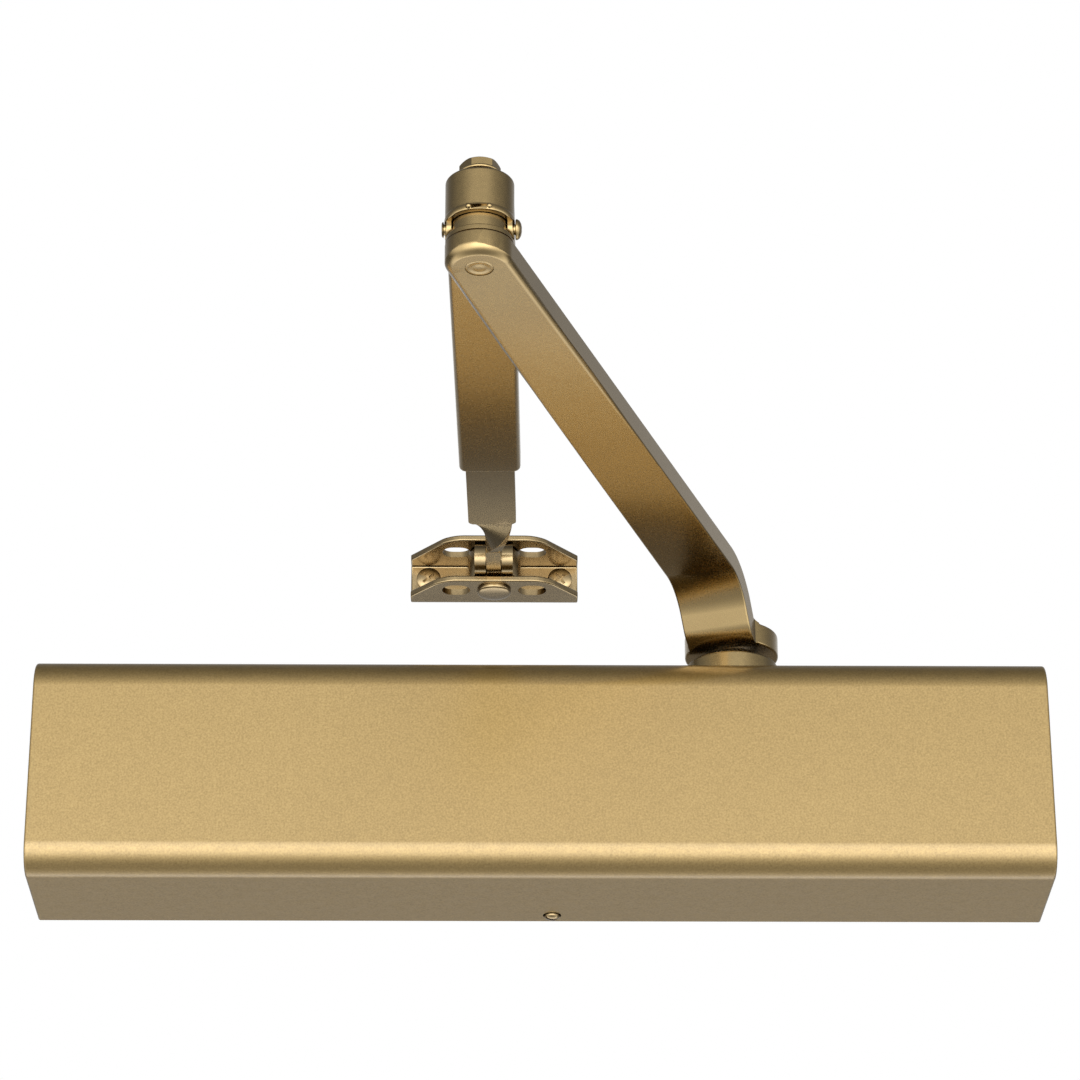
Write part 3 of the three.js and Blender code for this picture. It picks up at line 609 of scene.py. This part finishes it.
def makeCoverScrew():
    s = coverScrewShape
    low, high = boxOf("cover_screw")
    radius, shank, under = s["radius"], s["shank"], low.z + s["height"]
    screw = turnShape([(0.6, low.z), (1.3, low.z + 0.12), (1.9, low.z + 0.35), (radius - 0.1, low.z + 0.7),
                       (radius, low.z + 1.0), (radius, under), (shank, under), (shank, high.z)], 40)
    half = s["slotWidth"] / 2
    slot = addBlock((-3, -half, low.z - 1), (3, half, low.z + s["slotDepth"]))
    cutAway(screw, slot)
    cleanUp(screw)
    centre = middleOf("cover_screw")
    moveTo(screw, (centre.x, centre.y, 0), s["turn"])
    handOver(screw, "coverScrew", shoeBrass, "housing", "shoe_brass", "cover_screw")


collarShape = dict(radius=14.6, bore=8.6, topRound=0.7, chamfer=0.3)


def makeCollar():
    low, high = boxOf("spindle_collar")
    radius, bore, soft, chamfer = (collarShape[k] for k in ("radius", "bore", "topRound", "chamfer"))
    collar = turnShape([(bore, low.z), (radius, low.z)]
                       + arc(radius - soft, high.z - soft, soft, 0, 90, 5)
                       + [(bore + chamfer, high.z), (bore, high.z - chamfer), (bore, low.z)], 96, closed=True)
    cleanUp(collar)
    onSpindle(collar)
    # the collar takes the darker copy of the arm finish, a painted shade
    handOver(collar, "spindleCollar", collarPaintedShadeGold, "housing", "cover_gold", "spindle_collar")


makeCover()
makeCoverScrew()
makeCollar()


# main arm: hub, gooseneck and flat bar with a round nose
armShape = dict(
    thick=7.2, hubBottom=44.3, hubRadius=14.9, neckWidth=21.8, noseWidth=19,
    bendStart=7.6, lowBend=7, highBend=22, neckAngle=55, rise=0.022, underElbow=65,
    taperStart=40, edgeRound=0.6, noseRound=3.2, noseSpread=0.35, fadeStart=90, fadeEnd=160,
    fadeHalf=13.5, formDrop=0.04, rivetHole=3.95, squareHalf=5.5, sideSpare=5, backSpare=3,
    boreReach=9, cornerPlace=10.2, cornerSpread=1.5, under=30, over=90)


def makeMainArm():
    s = armShape
    angle = radians(s["neckAngle"])
    slope = atan(s["rise"])
    half = s["thick"] / 2
    hubMiddle = s["hubBottom"] + half

    def barMiddle(reach):
        return s["underElbow"] + half - s["rise"] * (armReach - reach)

    footX = s["bendStart"] + s["lowBend"] * sin(angle)
    footZ = hubMiddle + s["lowBend"] * (1 - cos(angle))
    bendX = s["highBend"] * (sin(angle) - sin(slope))
    bendZ = s["highBend"] * (cos(slope) - cos(angle))
    straight = (barMiddle(footX + bendX) - footZ - bendZ) / (sin(angle) - s["rise"] * cos(angle))
    topX = footX + straight * cos(angle)
    topZ = footZ + straight * sin(angle)

    # side profile of the bent ribbon, wider than the arm
    wide = s["hubRadius"] + s["sideSpare"]
    back = -s["hubRadius"] - s["backSpare"]
    strap = addBlock((back, -wide, s["hubBottom"]), (s["bendStart"], wide, s["hubBottom"] + s["thick"]))
    markFaces(strap, lambda centre, normal: normal.x > 0.9)
    lowCentre = (mm(s["bendStart"]), 0, mm(hubMiddle + s["lowBend"]))
    bpy.ops.mesh.spin(steps=14, angle=angle, center=lowCentre, axis=(0, 1, 0))
    bpy.ops.mesh.extrude_region_move(TRANSFORM_OT_translate={
        "value": (mm(straight * cos(angle)), 0, mm(straight * sin(angle)))})
    highCentre = (mm(topX + s["highBend"] * sin(angle)), 0, mm(topZ - s["highBend"] * cos(angle)))
    bpy.ops.mesh.spin(steps=22, angle=slope - angle, center=highCentre, axis=(0, 1, 0))
    reach = armReach + s["noseWidth"] - topX - bendX
    bpy.ops.mesh.extrude_region_move(TRANSFORM_OT_translate={"value": (mm(reach), 0, mm(reach * s["rise"]))})
    bpy.ops.mesh.select_all(action="SELECT")
    bpy.ops.mesh.remove_doubles(threshold=mergeGap)
    bpy.ops.mesh.normals_make_consistent(inside=False)
    bpy.ops.object.mode_set(mode="OBJECT")

    # plan of the blank: round hub end, taper, half-round nose
    side = s["neckWidth"] / 2
    blank = addBlock((0, -side, s["under"]), (s["taperStart"], side, s["over"]))
    markFaces(blank, lambda centre, normal: normal.x > 0.9)
    taper = (s["neckWidth"] - s["noseWidth"]) / (armReach - s["taperStart"])
    noseEnd = armReach + s["noseWidth"] / 2
    endWidth = s["noseWidth"] - taper * s["noseWidth"] / 2
    bpy.ops.mesh.extrude_region_move(TRANSFORM_OT_translate={"value": (mm(noseEnd - s["taperStart"]), 0, 0)})
    bpy.ops.transform.resize(value=(1, endWidth / s["neckWidth"], 1), center_override=(mm(noseEnd), 0, 0))
    bpy.ops.object.mode_set(mode="OBJECT")

    def isNoseCorner(a, b):
        return a.x > noseEnd - 1 and b.x > noseEnd - 1 and abs(a.y - b.y) < 0.1

    roundEdges(blank, endWidth / 2 - 0.02, 28, isNoseCorner)
    weld(blank, addPost(s["hubRadius"], s["under"], s["over"], (0, 0), 96))
    keepInside(strap, blank)

    # the underside is rounded off round the nose, less and less towards the bend
    farHalf, nearHalf, fadeStart = s["fadeHalf"], s["noseWidth"] / 2 + s["noseSpread"], s["fadeStart"]
    form = addBlock((fadeStart, -farHalf, s["underElbow"] - s["formDrop"]), (noseEnd, farHalf, s["over"]))
    markFaces(form, lambda centre, normal: normal.x > 0.9)
    bpy.ops.transform.resize(value=(1, nearHalf / farHalf, 1), center_override=(mm(noseEnd), 0, 0))
    bpy.ops.object.mode_set(mode="OBJECT")
    roundEdges(form, nearHalf - 0.3, 32, isNoseCorner)
    low = s["underElbow"] + 0.01
    roundEdges(form, s["noseRound"], 10,
               lambda a, b: a.z < low and b.z < low and max(a.x, b.x) > fadeStart + 1)
    form.location = (mm(-armReach), 0, mm(-s["underElbow"]))
    applyPlace(form)
    layAlong(form, (0, -degrees(slope), 0))
    form.location = (mm(armReach), 0, mm(s["underElbow"]))
    applyPlace(form)
    weld(form, addBlock((-40, -25, s["under"]), (fadeStart + 3, 25, 100)))
    keepInside(strap, form)
    cutAway(strap, addPost(s["rivetHole"], 55, 85, (armReach, 0), 48))
    corner = s["squareHalf"]
    square = addBlock((-corner, -corner, 40), (corner, corner, 60))
    layAlong(square, (0, 0, -armTurn))
    cutAway(strap, square)
    takeUp(strap)
    bpy.ops.object.mode_set(mode="EDIT")
    bpy.ops.mesh.select_all(action="SELECT")
    bpy.ops.mesh.remove_doubles(threshold=0.0001)
    bpy.ops.mesh.dissolve_limited(angle_limit=radians(0.5))
    bpy.ops.mesh.select_mode(type="EDGE")
    bpy.ops.mesh.select_all(action="DESELECT")
    bpy.ops.mesh.edges_select_sharp(sharpness=radians(35))
    bpy.ops.object.mode_set(mode="OBJECT")

    # outer edges are softened, the holes stay crisp
    mesh = strap.data
    weights = mesh.attributes.new("bevel_weight_edge", "FLOAT", "EDGE")
    for edge in mesh.edges:
        centre = (mesh.vertices[edge.vertices[0]].co + mesh.vertices[edge.vertices[1]].co) * 500
        inBore = centre.xy.length < s["boreReach"]
        inRivetHole = (centre.xy - Vector((armReach, 0))).length < s["rivetHole"] + 0.3
        inCorner = max(abs(centre.x - s["cornerPlace"]), abs(abs(centre.y) - side)) < s["cornerSpread"]
        underNose = centre.z < barMiddle(centre.x) and centre.x > s["fadeEnd"]
        if edge.select and not (inBore or inRivetHole or inCorner or underNose):
            weights.data[edge.index].value = 1
    bevel = strap.modifiers.new("armEdges", "BEVEL")
    bevel.limit_method = "WEIGHT"
    bevel.width = mm(s["edgeRound"])
    bevel.segments = 4
    bevel.use_clamp_overlap = False
    bpy.ops.object.modifier_apply(modifier=bevel.name)
    cleanUp(strap, 55)
    onSpindle(strap, armTurn)
    handOver(strap, "mainArm", armGold, "spindle", "arm_gold", "main_arm")


makeMainArm()


# knuckle at the elbow
rivetShape = dict(radius=3.85, ring=0.12)


def makeElbowRivet():
    low, high = boxOf("elbow_rivet")
    radius, ring = rivetShape["radius"], rivetShape["ring"]
    rivet = turnShape([(0.5, low.z + 0.06), (1.2, low.z + 0.09), (1.9, low.z + 0.17), (2.4, low.z + 0.16),
                       (3, low.z + 0.07), (radius - 0.35, low.z + 0.03), (radius, low.z + ring),
                       (radius, high.z)], 56)
    cleanUp(rivet)
    onElbow(rivet)
    handOver(rivet, "elbowRivet", armGold, "spindle", "arm_gold", "elbow_rivet")


postShape = dict(
    footRadius=9.4, footDrop=0.45, footTop=73.9, radius=7.85, shoulder=80.2, topRadius=4.6, soft=0.35,
    bore=3.95, pinHole=1.6)


def makeKnucklePost():
    low, high = boxOf("knuckle_post")
    s = postShape
    foot, soft = low.z - s["footDrop"], s["soft"]
    post = turnShape([(s["bore"], low.z + 2), (s["bore"], foot), (s["footRadius"], foot)]
                     + arc(s["footRadius"] - soft, s["footTop"] - soft, soft, 0, 90, 4)
                     + [(s["radius"], s["footTop"]), (s["radius"], s["shoulder"]), (5.4, 83.4),
                        (s["topRadius"], 85.8), (2, high.z)], 96)
    cutAway(post, addCrossBar(s["pinHole"], -12, 12, 0, crossPinLevel))
    cleanUp(post)
    onElbow(post, foreTurn)
    handOver(post, "knucklePost", armGold, "knuckle", "arm_gold", "knuckle_post")


capShape = dict(
    radius=9.5, bore=8.2, rimRadius=9.7, rimHeight=1.9, topRound=0.9, roof=3, earRadius=2.9,
    notchWidth=4.4, notchHeight=1.3, notchRise=0.25, dimple=2.85, dimpleRadius=0.8, dimpleRise=1.15,
    dimpleDepth=0.35, boltHole=3.1, pinHole=1.6)


def makeKnuckleCap():
    s = capShape
    rim = rimLevel
    top = boxOf("knuckle_cap")[1].z
    bead = s["rimHeight"] / 2
    profile = [(s["bore"], rim), (s["rimRadius"] - 0.5, rim)]
    profile += [(s["rimRadius"] - 0.15, rim + 0.15), (s["rimRadius"], rim + 0.5),
                (s["rimRadius"], rim + bead + 0.35), (s["rimRadius"] - 0.1, rim + s["rimHeight"] - 0.25),
                (s["radius"] + 0.02, rim + s["rimHeight"]), (s["radius"], rim + s["rimHeight"] + 0.3)]
    profile += arc(s["radius"] - s["topRound"], top - s["topRound"], s["topRound"], 0, 90, 6)
    profile += [(s["boltHole"], top), (s["boltHole"], top - s["roof"]),
                (s["bore"], top - s["roof"]), (s["bore"], rim)]
    cap = turnShape(profile, 96, closed=True)

    # two ears hang from the rim, round at the cross pin
    ear = s["earRadius"]
    tongue = addBlock((-12, -ear, crossPinLevel - ear), (12, ear, rim + 1))
    roundEdges(tongue, ear - 0.01, 12,
               lambda a, b: abs(a.x - b.x) > 20 and a.z < crossPinLevel and b.z < crossPinLevel)
    wall = turnShape([(s["bore"] + 0.02, 70), (s["radius"] - 0.02, 70), (s["radius"] - 0.02, rim + 1),
                      (s["bore"] + 0.02, rim + 1), (s["bore"] + 0.02, 70)], 96, closed=True)
    keepInside(tongue, wall)
    softenEdges(tongue, 0.3, 2, 50)
    weld(cap, tongue)
    cutAway(cap, addCrossBar(s["pinHole"], -12, 12, 0, crossPinLevel))
    notchLow = rim + s["notchRise"]
    notch = addBlock((-s["notchWidth"] / 2, -s["rimRadius"] - 1, notchLow),
                     (s["notchWidth"] / 2, -s["radius"] + 0.55, notchLow + s["notchHeight"]))
    cutAway(cap, notch)
    for side in (-1, 1):
        clearSelection()
        bpy.ops.mesh.primitive_uv_sphere_add(
            segments=20, ring_count=12, radius=mm(s["dimpleRadius"]),
            location=(mm(side * s["dimple"]), mm(-s["radius"] + s["dimpleDepth"]), mm(rim + s["dimpleRise"])))
        applyPlace(bpy.context.object)
        weld(cap, bpy.context.object)
    cleanUp(cap)
    onElbow(cap, foreTurn)
    handOver(cap, "knuckleCap", armGold, "forearm", "arm_gold", "knuckle_cap")


boltShape = dict(
    acrossFlats=10, turn=37, flangeRadius=6, flangeHeight=1.1, neckRadius=5.2, neckHeight=1.9,
    shankRadius=2.9, lift=0.1)


def makeKnuckleBolt():
    s = boltShape
    low, high = boxOf("knuckle_bolt")
    neckLow = capTop + s["lift"]
    flangeLow = neckLow + s["neckHeight"]
    flangeTop = flangeLow + s["flangeHeight"]
    bolt = addPost(s["acrossFlats"] / 2 / cos(pi / 6), flangeTop - 0.4, high.z, (0, 0), 6)
    layAlong(bolt, (0, 0, s["turn"]))
    dome = turnShape([(6, flangeTop - 1), (6, high.z - 0.8), (5.5, high.z - 0.4), (4.9, high.z - 0.02)], 72)
    keepInside(bolt, dome)
    softenEdges(bolt, 0.2, 2, 30)
    edge = s["flangeHeight"] / 2
    flange = turnShape(arc(s["flangeRadius"] - edge, flangeLow + edge, edge, -90, 90, 8), 72)
    neck = addPost(s["neckRadius"], neckLow, flangeLow + 0.3, (0, 0), 72)
    shank = addPost(s["shankRadius"], low.z, neckLow + 0.3, (0, 0), 40)
    weld(bolt, flange, neck, shank)
    cleanUp(bolt)
    onElbow(bolt, foreTurn)
    handOver(bolt, "knuckleBolt", armGold, "forearm", "arm_gold", "knuckle_bolt")


pinShape = dict(radius=1.5, headRadius=2.9, tailRadius=2.3)
rimAbovePin = 1.15


def makeCrossPin():
    s = pinShape
    pin = turnShape([(1.5, -10.4), (1.9, -10.35), (s["tailRadius"], -9.95), (s["radius"], -9.75),
                     (s["radius"], 9.8), (s["headRadius"] - 0.2, 9.85), (s["headRadius"], 10.05),
                     (s["headRadius"] - 0.05, 10.4), (2.5, 10.95), (1.7, 11.4), (0.7, 11.6)], 40)
    layAlong(pin, (0, 90, 0))
    pin.location = (0, 0, mm(crossPinLevel))
    applyPlace(pin)
    cleanUp(pin)
    onElbow(pin, foreTurn)
    handOver(pin, "crossPin", armGold, "forearm", "arm_gold", "cross_pin")


crossPinLevel = middleOf("cross_pin").z * 1000
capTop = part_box("knuckle_cap")[1].z * 1000
rimLevel = crossPinLevel + rimAbovePin
makeElbowRivet()
makeKnucklePost()
makeKnuckleCap()
makeKnuckleBolt()
makeCrossPin()


# forearm: sleeve and sliding rod, drawn along Y from the elbow
sleeveShape = dict(
    width=19, end=155, edgeRound=1.5, cornerRound=2.3, grooveStart=30, grooveClear=0.3, capBite=0.3,
    screwPlace=140, screwHole=1.8)
rodShape = dict(
    width=15.2, thick=4.2, start=60, flatEnd=195, cornerRound=2, neckLength=14, neckWidth=12.8, neckSteps=16,
    tipThick=4.6, tipHeight=8.6, pinPlace=222.7, pinHole=1.9, edgeRound=0.5)


def makeSleeve():
    s = sleeveShape
    low, high = boxOf("forearm_sleeve")
    half = s["width"] / 2
    sleeve = addBlock((-half, 0, low.z), (half, s["end"], high.z))
    roundEdges(sleeve, s["cornerRound"], 6,
               lambda a, b: abs(a.z - b.z) > 3 and a.y > s["end"] - 0.1 and b.y > s["end"] - 0.1)
    roundEdges(sleeve, s["edgeRound"], 5,
               lambda a, b: abs(a.z - b.z) < 0.1 and not (a.y < 0.1 and b.y < 0.1))
    rodHalf, rodThick = rodShape["width"] / 2 + s["grooveClear"], rodShape["thick"] / 2 + s["grooveClear"]
    centre = (low.z + high.z) / 2
    groove = addBlock((-rodHalf, s["grooveStart"], centre - rodThick),
                      (rodHalf, s["end"] + 5, centre + rodThick))
    cutAway(sleeve, groove, addPost(capShape["radius"] - s["capBite"], 60, 110, (0, 0), 96),
            addPost(s["screwHole"], centre, high.z + 5, (0, s["screwPlace"]), 32))
    cleanUp(sleeve)
    onElbow(sleeve, foreTurn)
    handOver(sleeve, "forearmSleeve", armGold, "forearm", "arm_gold", "forearm_sleeve")


def makeRod():
    s = rodShape
    level = middleOf("forearm_sleeve").z * 1000
    pinLevel = middleOf("yoke_pin").z * 1000
    half, thick = s["width"] / 2, s["thick"] / 2
    rod = addBlock((-half, s["start"], level - thick), (half, s["flatEnd"], level + thick))
    roundEdges(rod, s["cornerRound"], 6,
               lambda a, b: abs(a.z - b.z) > 3 and a.y > s["flatEnd"] - 0.1 and b.y > s["flatEnd"] - 0.1)

    # the neck turns through a right angle and narrows to the blade
    neckHalf = s["neckWidth"] / 2
    neck = addBlock((-neckHalf, s["flatEnd"] - 1, level - thick), (neckHalf, s["flatEnd"], level + thick))
    markFaces(neck, lambda centre, normal: normal.y > 0.9)
    steps = s["neckSteps"]
    wide, deep = s["neckWidth"], s["thick"]
    for step in range(1, steps + 1):
        share = step / steps
        nextWide = s["neckWidth"] + (s["tipHeight"] - s["neckWidth"]) * share
        nextDeep = s["thick"] + (s["tipThick"] - s["thick"]) * share
        bpy.ops.mesh.extrude_region_move(TRANSFORM_OT_translate={
            "value": (0, mm(s["neckLength"] / steps), mm((pinLevel - level) / steps))})
        place = (0, mm(s["flatEnd"] + s["neckLength"] * share), mm(level + (pinLevel - level) * share))
        turned = pi / 2 * (step - 1) / steps
        bpy.ops.transform.rotate(value=turned, orient_axis="Y", center_override=place)
        bpy.ops.transform.resize(value=(nextWide / wide, 1, nextDeep / deep), center_override=place)
        bpy.ops.transform.rotate(value=-pi / 2 * step / steps, orient_axis="Y", center_override=place)
        wide, deep = nextWide, nextDeep
    bpy.ops.object.mode_set(mode="OBJECT")
    neckEnd = s["flatEnd"] + s["neckLength"]
    tip = addBlock((-s["tipThick"] / 2, neckEnd - 0.4, pinLevel - s["tipHeight"] / 2),
                   (s["tipThick"] / 2, s["pinPlace"] + s["tipHeight"] / 2, pinLevel + s["tipHeight"] / 2))
    roundEdges(tip, s["tipHeight"] / 2 - 0.02, 16,
               lambda a, b: abs(a.x - b.x) > 3 and a.y > s["pinPlace"] and b.y > s["pinPlace"])
    weld(rod, neck, tip)
    cutAway(rod, addCrossBar(s["pinHole"], -8, 8, s["pinPlace"], pinLevel, 32))
    softenEdges(rod, s["edgeRound"], 3, 45)
    cleanUp(rod)
    onElbow(rod, foreTurn)
    handOver(rod, "forearmRod", armGold, "rod", "arm_gold", "forearm_rod")


makeSleeve()
makeRod()


# yoke and frame shoe
yokeShape = dict(
    drumRadius=8.8, drumRound=0.6, earHigh=6.2, edgeRound=0.95, gap=2.6, gapSpare=0.5, rivetHole=2.6,
    pinHole=1.85, pinRadius=1.8, pinHalf=6.1, pinShoulder=5.7, pinTip=1.3)


def makeYoke():
    s = yokeShape
    low, high = boxOf("shoe_yoke")
    pinLevel = middleOf("yoke_pin").z * 1000
    centre = (low.z + high.z) / 2
    pinPlace = rodShape["pinPlace"]
    earRadius = (high.z - low.z) / 2
    soft = s["drumRound"]
    drum = turnShape([(s["drumRadius"] - soft, low.z)]
                     + arc(s["drumRadius"] - soft, low.z + soft, soft, -90, 0, 4)[1:]
                     + arc(s["drumRadius"] - soft, high.z - soft, soft, 0, 90, 4), 80)
    moveTo(drum, (0, mm(shoeReach), 0))
    ears = addBlock((-s["earHigh"], pinPlace - earRadius, low.z + 0.02),
                    (s["earHigh"], shoeReach, high.z - 0.02))
    roundEdges(ears, earRadius - 0.05, 16,
               lambda a, b: abs(a.x - b.x) > 3 and a.y < pinPlace and b.y < pinPlace)
    slotEnd = pinPlace + rodShape["tipHeight"] / 2 + s["gapSpare"]
    slot = addBlock((-s["gap"], 190, centre - 10), (s["gap"], slotEnd, centre + 10))
    weld(drum, ears)
    cutAway(drum, slot)
    softenEdges(drum, s["edgeRound"], 3, 50)
    cutAway(drum, addPost(s["rivetHole"], low.z - 2, high.z + 2, (0, shoeReach), 32),
            addCrossBar(s["pinHole"], -8, 8, pinPlace, pinLevel, 32))
    cleanUp(drum)
    onElbow(drum, foreTurn)
    handOver(drum, "shoeYoke", shoeBrass, "yoke", "shoe_brass", "shoe_yoke")
    shoulder = s["pinShoulder"]
    pin = turnShape([(s["pinTip"], -s["pinHalf"]), (s["pinRadius"], -shoulder),
                     (s["pinRadius"], shoulder), (s["pinTip"], s["pinHalf"])], 32)
    layAlong(pin, (0, 90, 0))
    pin.location = (0, mm(pinPlace), mm(pinLevel))
    applyPlace(pin)
    cleanUp(pin)
    onElbow(pin, foreTurn)
    handOver(pin, "yokePin", shoeBrass, "yoke", "shoe_brass", "yoke_pin")


bracketShape = dict(
    sheet=2, bendRound=1.6, lowerDepth=18, lowerSide=6, lowerFront=16.8, upperDepth=22.2, upperSide=7,
    upperFront=14.6, cornerRound=4.5, slotLength=9.2, slotWidth=7.4, slotPlace=12.4, lowerSlot=10.8,
    upperSlot=13, edgeRound=0.45, screwPlace=21.6, screwLevel=8, rivetHole=2.6)


# slanted corner of one flange
def cutCorner(bracket, half, side, frontHalf, sideDepth, depth, low, high):
    wedge = addBlock((0, -40, low - 1), (40, 0, high + 1))
    angle = atan2(depth - sideDepth, half - frontHalf)
    wedge.rotation_euler = (0, 0, angle - pi / 2)
    wedge.location = (mm(half), mm(-sideDepth), 0)
    applyPlace(wedge)
    if side < 0:
        wedge.scale = (-1, 1, 1)
        applyPlace(wedge)
        markFaces(wedge, lambda centre, normal: True)
        bpy.ops.mesh.normals_make_consistent(inside=False)
        bpy.ops.object.mode_set(mode="OBJECT")
    cutAway(bracket, wedge)


def makeBracket():
    s = bracketShape
    low, high = boxOf("shoe_bracket")
    half = (high.x - low.x) / 2
    sheet = s["sheet"]
    level = low.z
    top = high.z

    # folded channel: web at the back, flange below and above
    bracket = addBlock((-half, -s["upperDepth"], level), (half, 0, top))
    roundEdges(bracket, s["bendRound"], 5,
               lambda a, b: abs(a.x - b.x) > 20 and a.y > -0.1 and b.y > -0.1)
    hollow = addBlock((-half - 1, -s["upperDepth"] - 1, level + sheet), (half + 1, -sheet, top - sheet))
    lowerFront = addBlock((-half - 1, -s["upperDepth"] - 1, level - 1), (half + 1, -s["lowerDepth"], top - 5))
    cutAway(bracket, hollow, lowerFront)
    for side in (-1, 1):
        cutCorner(bracket, half, side, s["lowerFront"], s["lowerSide"], s["lowerDepth"], level, level + sheet)
        cutCorner(bracket, half, side, s["upperFront"], s["upperSide"], s["upperDepth"], top - sheet, top)
    cleanUp(bracket)
    roundEdges(bracket, s["cornerRound"], 6,
               lambda a, b: abs(a.z - b.z) > 1 and abs(a.z - b.z) < 3 and abs(a.x - b.x) < 0.05
               and abs(a.y - b.y) < 0.05 and a.y < -s["upperSide"] - 3)
    softenEdges(bracket, s["edgeRound"], 3, 50)
    slots = ((s["lowerSlot"], level - 1, level + 5), (s["upperSlot"], top - 5, top + 1))
    for side in (-1, 1):
        for place, slotLow, slotHigh in slots:
            x = side * s["slotPlace"]
            slot = addBlock((x - s["slotLength"] / 2, -place - s["slotWidth"] / 2, slotLow),
                            (x + s["slotLength"] / 2, -place + s["slotWidth"] / 2, slotHigh))
            roundEdges(slot, s["slotWidth"] / 2 - 0.02, 10, lambda a, b: abs(a.z - b.z) > 3)
            cutAway(bracket, slot)
    back = shoeBack - shoeAxis.y * 1000
    rivetHole = addPost(s["rivetHole"], level - 2, top + 2, (0, -back), 40)
    cutAway(bracket, rivetHole)
    for side in (-1, 1):
        hole = turnShape([(2.3, -6), (2.3, 0.6), (4.2, 2.4), (4.2, 4)], 40)
        layAlong(hole, (90, 0, 0))
        hole.location = (mm(side * s["screwPlace"]), 0, mm(level + s["screwLevel"]))
        applyPlace(hole)
        cutAway(bracket, hole)
    cleanUp(bracket)
    moveTo(bracket, (shoeAxis.x, mm(shoeBack), 0))
    handOver(bracket, "shoeBracket", shoeBrass, "shoe", "shoe_brass", "shoe_bracket")


def makeShoeRivet():
    low, high = boxOf("shoe_rivet")
    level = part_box("shoe_bracket")[0].z * 1000
    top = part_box("shoe_bracket")[1].z * 1000
    rivet = turnShape([(0.6, low.z), (2.6, low.z + 0.04), (3.8, low.z + 0.16)]
                      + arc(4.7, low.z + 1.05, 0.8, -72, 0, 8)
                      + [(5.5, level - 0.1), (2.5, level - 0.1), (2.5, top + 0.1), (4.2, top + 0.1),
                         (4.1, top + 0.6), (3.6, top + 1.1), (2.2, high.z)], 72)
    cleanUp(rivet)
    onShoe(rivet)
    handOver(rivet, "shoeRivet", shoeBrass, "shoe", "shoe_brass", "shoe_rivet")


shoeScrewShape = dict(headRadius=3.95, headTop=3.1, crossHalf=2.3, crossWidth=0.9, crossDepth=1.6, turn=38)


def makeShoeScrews():
    s = shoeScrewShape
    screw = turnShape([(0.3, -12), (1, -11.2), (2.1, -9), (2.1, 0.5), (s["headRadius"], 2.3),
                       (s["headRadius"], 2.5), (3.5, 2.75), (2.4, 3.0), (1.2, s["headTop"])], 48)
    wide = s["crossWidth"] / 2
    for a, b in ((s["crossHalf"], wide), (wide, s["crossHalf"])):
        cutAway(screw, addBlock((-a, -b, s["headTop"] - s["crossDepth"]), (a, b, 5)))
    cleanUp(screw)
    layAlong(screw, (0, 0, s["turn"]))
    layAlong(screw, (90, 0, 0))
    for name, node in (("shoeScrewLeft", "shoe_screw_left"), ("shoeScrewRight", "shoe_screw_right")):
        clearSelection()
        piece = screw.copy()
        piece.data = screw.data.copy()
        bpy.context.collection.objects.link(piece)
        centre = middleOf(node)
        moveTo(piece, (centre.x, mm(shoeBack), centre.z))
        handOver(piece, name, shoeBrass, "shoe", "shoe_brass", node)
    bpy.data.objects.remove(screw, do_unlink=True)


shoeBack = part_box("shoe_bracket")[1].y * 1000
makeYoke()
makeBracket()
makeShoeRivet()
makeShoeScrews()


# closing spring inside the body: two halves that meet in the middle
springShape = dict(
    wireRadius=2.1, coilRadius=12.6, halfTurns=5, turnSteps=32, wireSides=16, seatTravel=8, pistonTravel=30)


def makeSpringHalf(name, start, length):
    s = springShape
    centre = middleOf("main_spring")
    clearSelection()
    bpy.ops.mesh.primitive_circle_add(
        vertices=s["wireSides"], radius=mm(s["wireRadius"]), location=(0, 0, mm(s["coilRadius"])),
        rotation=(pi / 2, 0, 0))
    spring = bpy.context.object
    applyPlace(spring)
    winding = spring.modifiers.new("winding", "SCREW")
    winding.axis = "X"
    winding.angle = 2 * pi
    winding.screw_offset = mm(length / s["halfTurns"])
    winding.iterations = s["halfTurns"]
    winding.steps = winding.render_steps = s["turnSteps"]
    bpy.ops.object.modifier_apply(modifier=winding.name)
    bpy.ops.object.mode_set(mode="EDIT")
    bpy.ops.mesh.select_all(action="SELECT")
    bpy.ops.mesh.remove_doubles(threshold=mergeGap)
    bpy.ops.mesh.fill_holes(sides=0)
    bpy.ops.object.mode_set(mode="OBJECT")
    spring.location = (mm(start), centre.y, centre.z)
    applyPlace(spring)
    cleanUp(spring, 50)
    handOver(spring, name, springSteel, "housing", "spring_steel", "main_spring")
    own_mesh(spring)


def makeSpring():
    s = springShape
    low, high = boxOf("main_spring")
    middle = (low.x + high.x) / 2
    length = (high.x - low.x) / 2 - s["wireRadius"]
    makeSpringHalf("mainSpringLeft", middle - length, length)
    makeSpringHalf("mainSpringRight", middle, length)


makeSpring()


# solids kept from the frame, with their finishes
keptFinishes = {
    castIron: ["body_casting"],
    sealRubber: ["spindle_seal", "end_seal_left", "end_seal_right", "piston_seal_left", "piston_seal_right"],
    plainSteel: [
        "pinion_cap", "end_plug_left", "end_plug_right", "cover_bracket", "upper_bearing", "lower_bearing",
        "piston", "check_valve", "spring_seat", "power_adjuster", "sweep_valve", "latch_valve",
        "backcheck_valve", "pinion_shaft", "arm_washer", "arm_screw", "length_screw"]}

for material, nodes in keptFinishes.items():
    for node in nodes:
        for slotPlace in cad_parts[node].material_slots:
            slotPlace.material = material
print("kept parts finished")
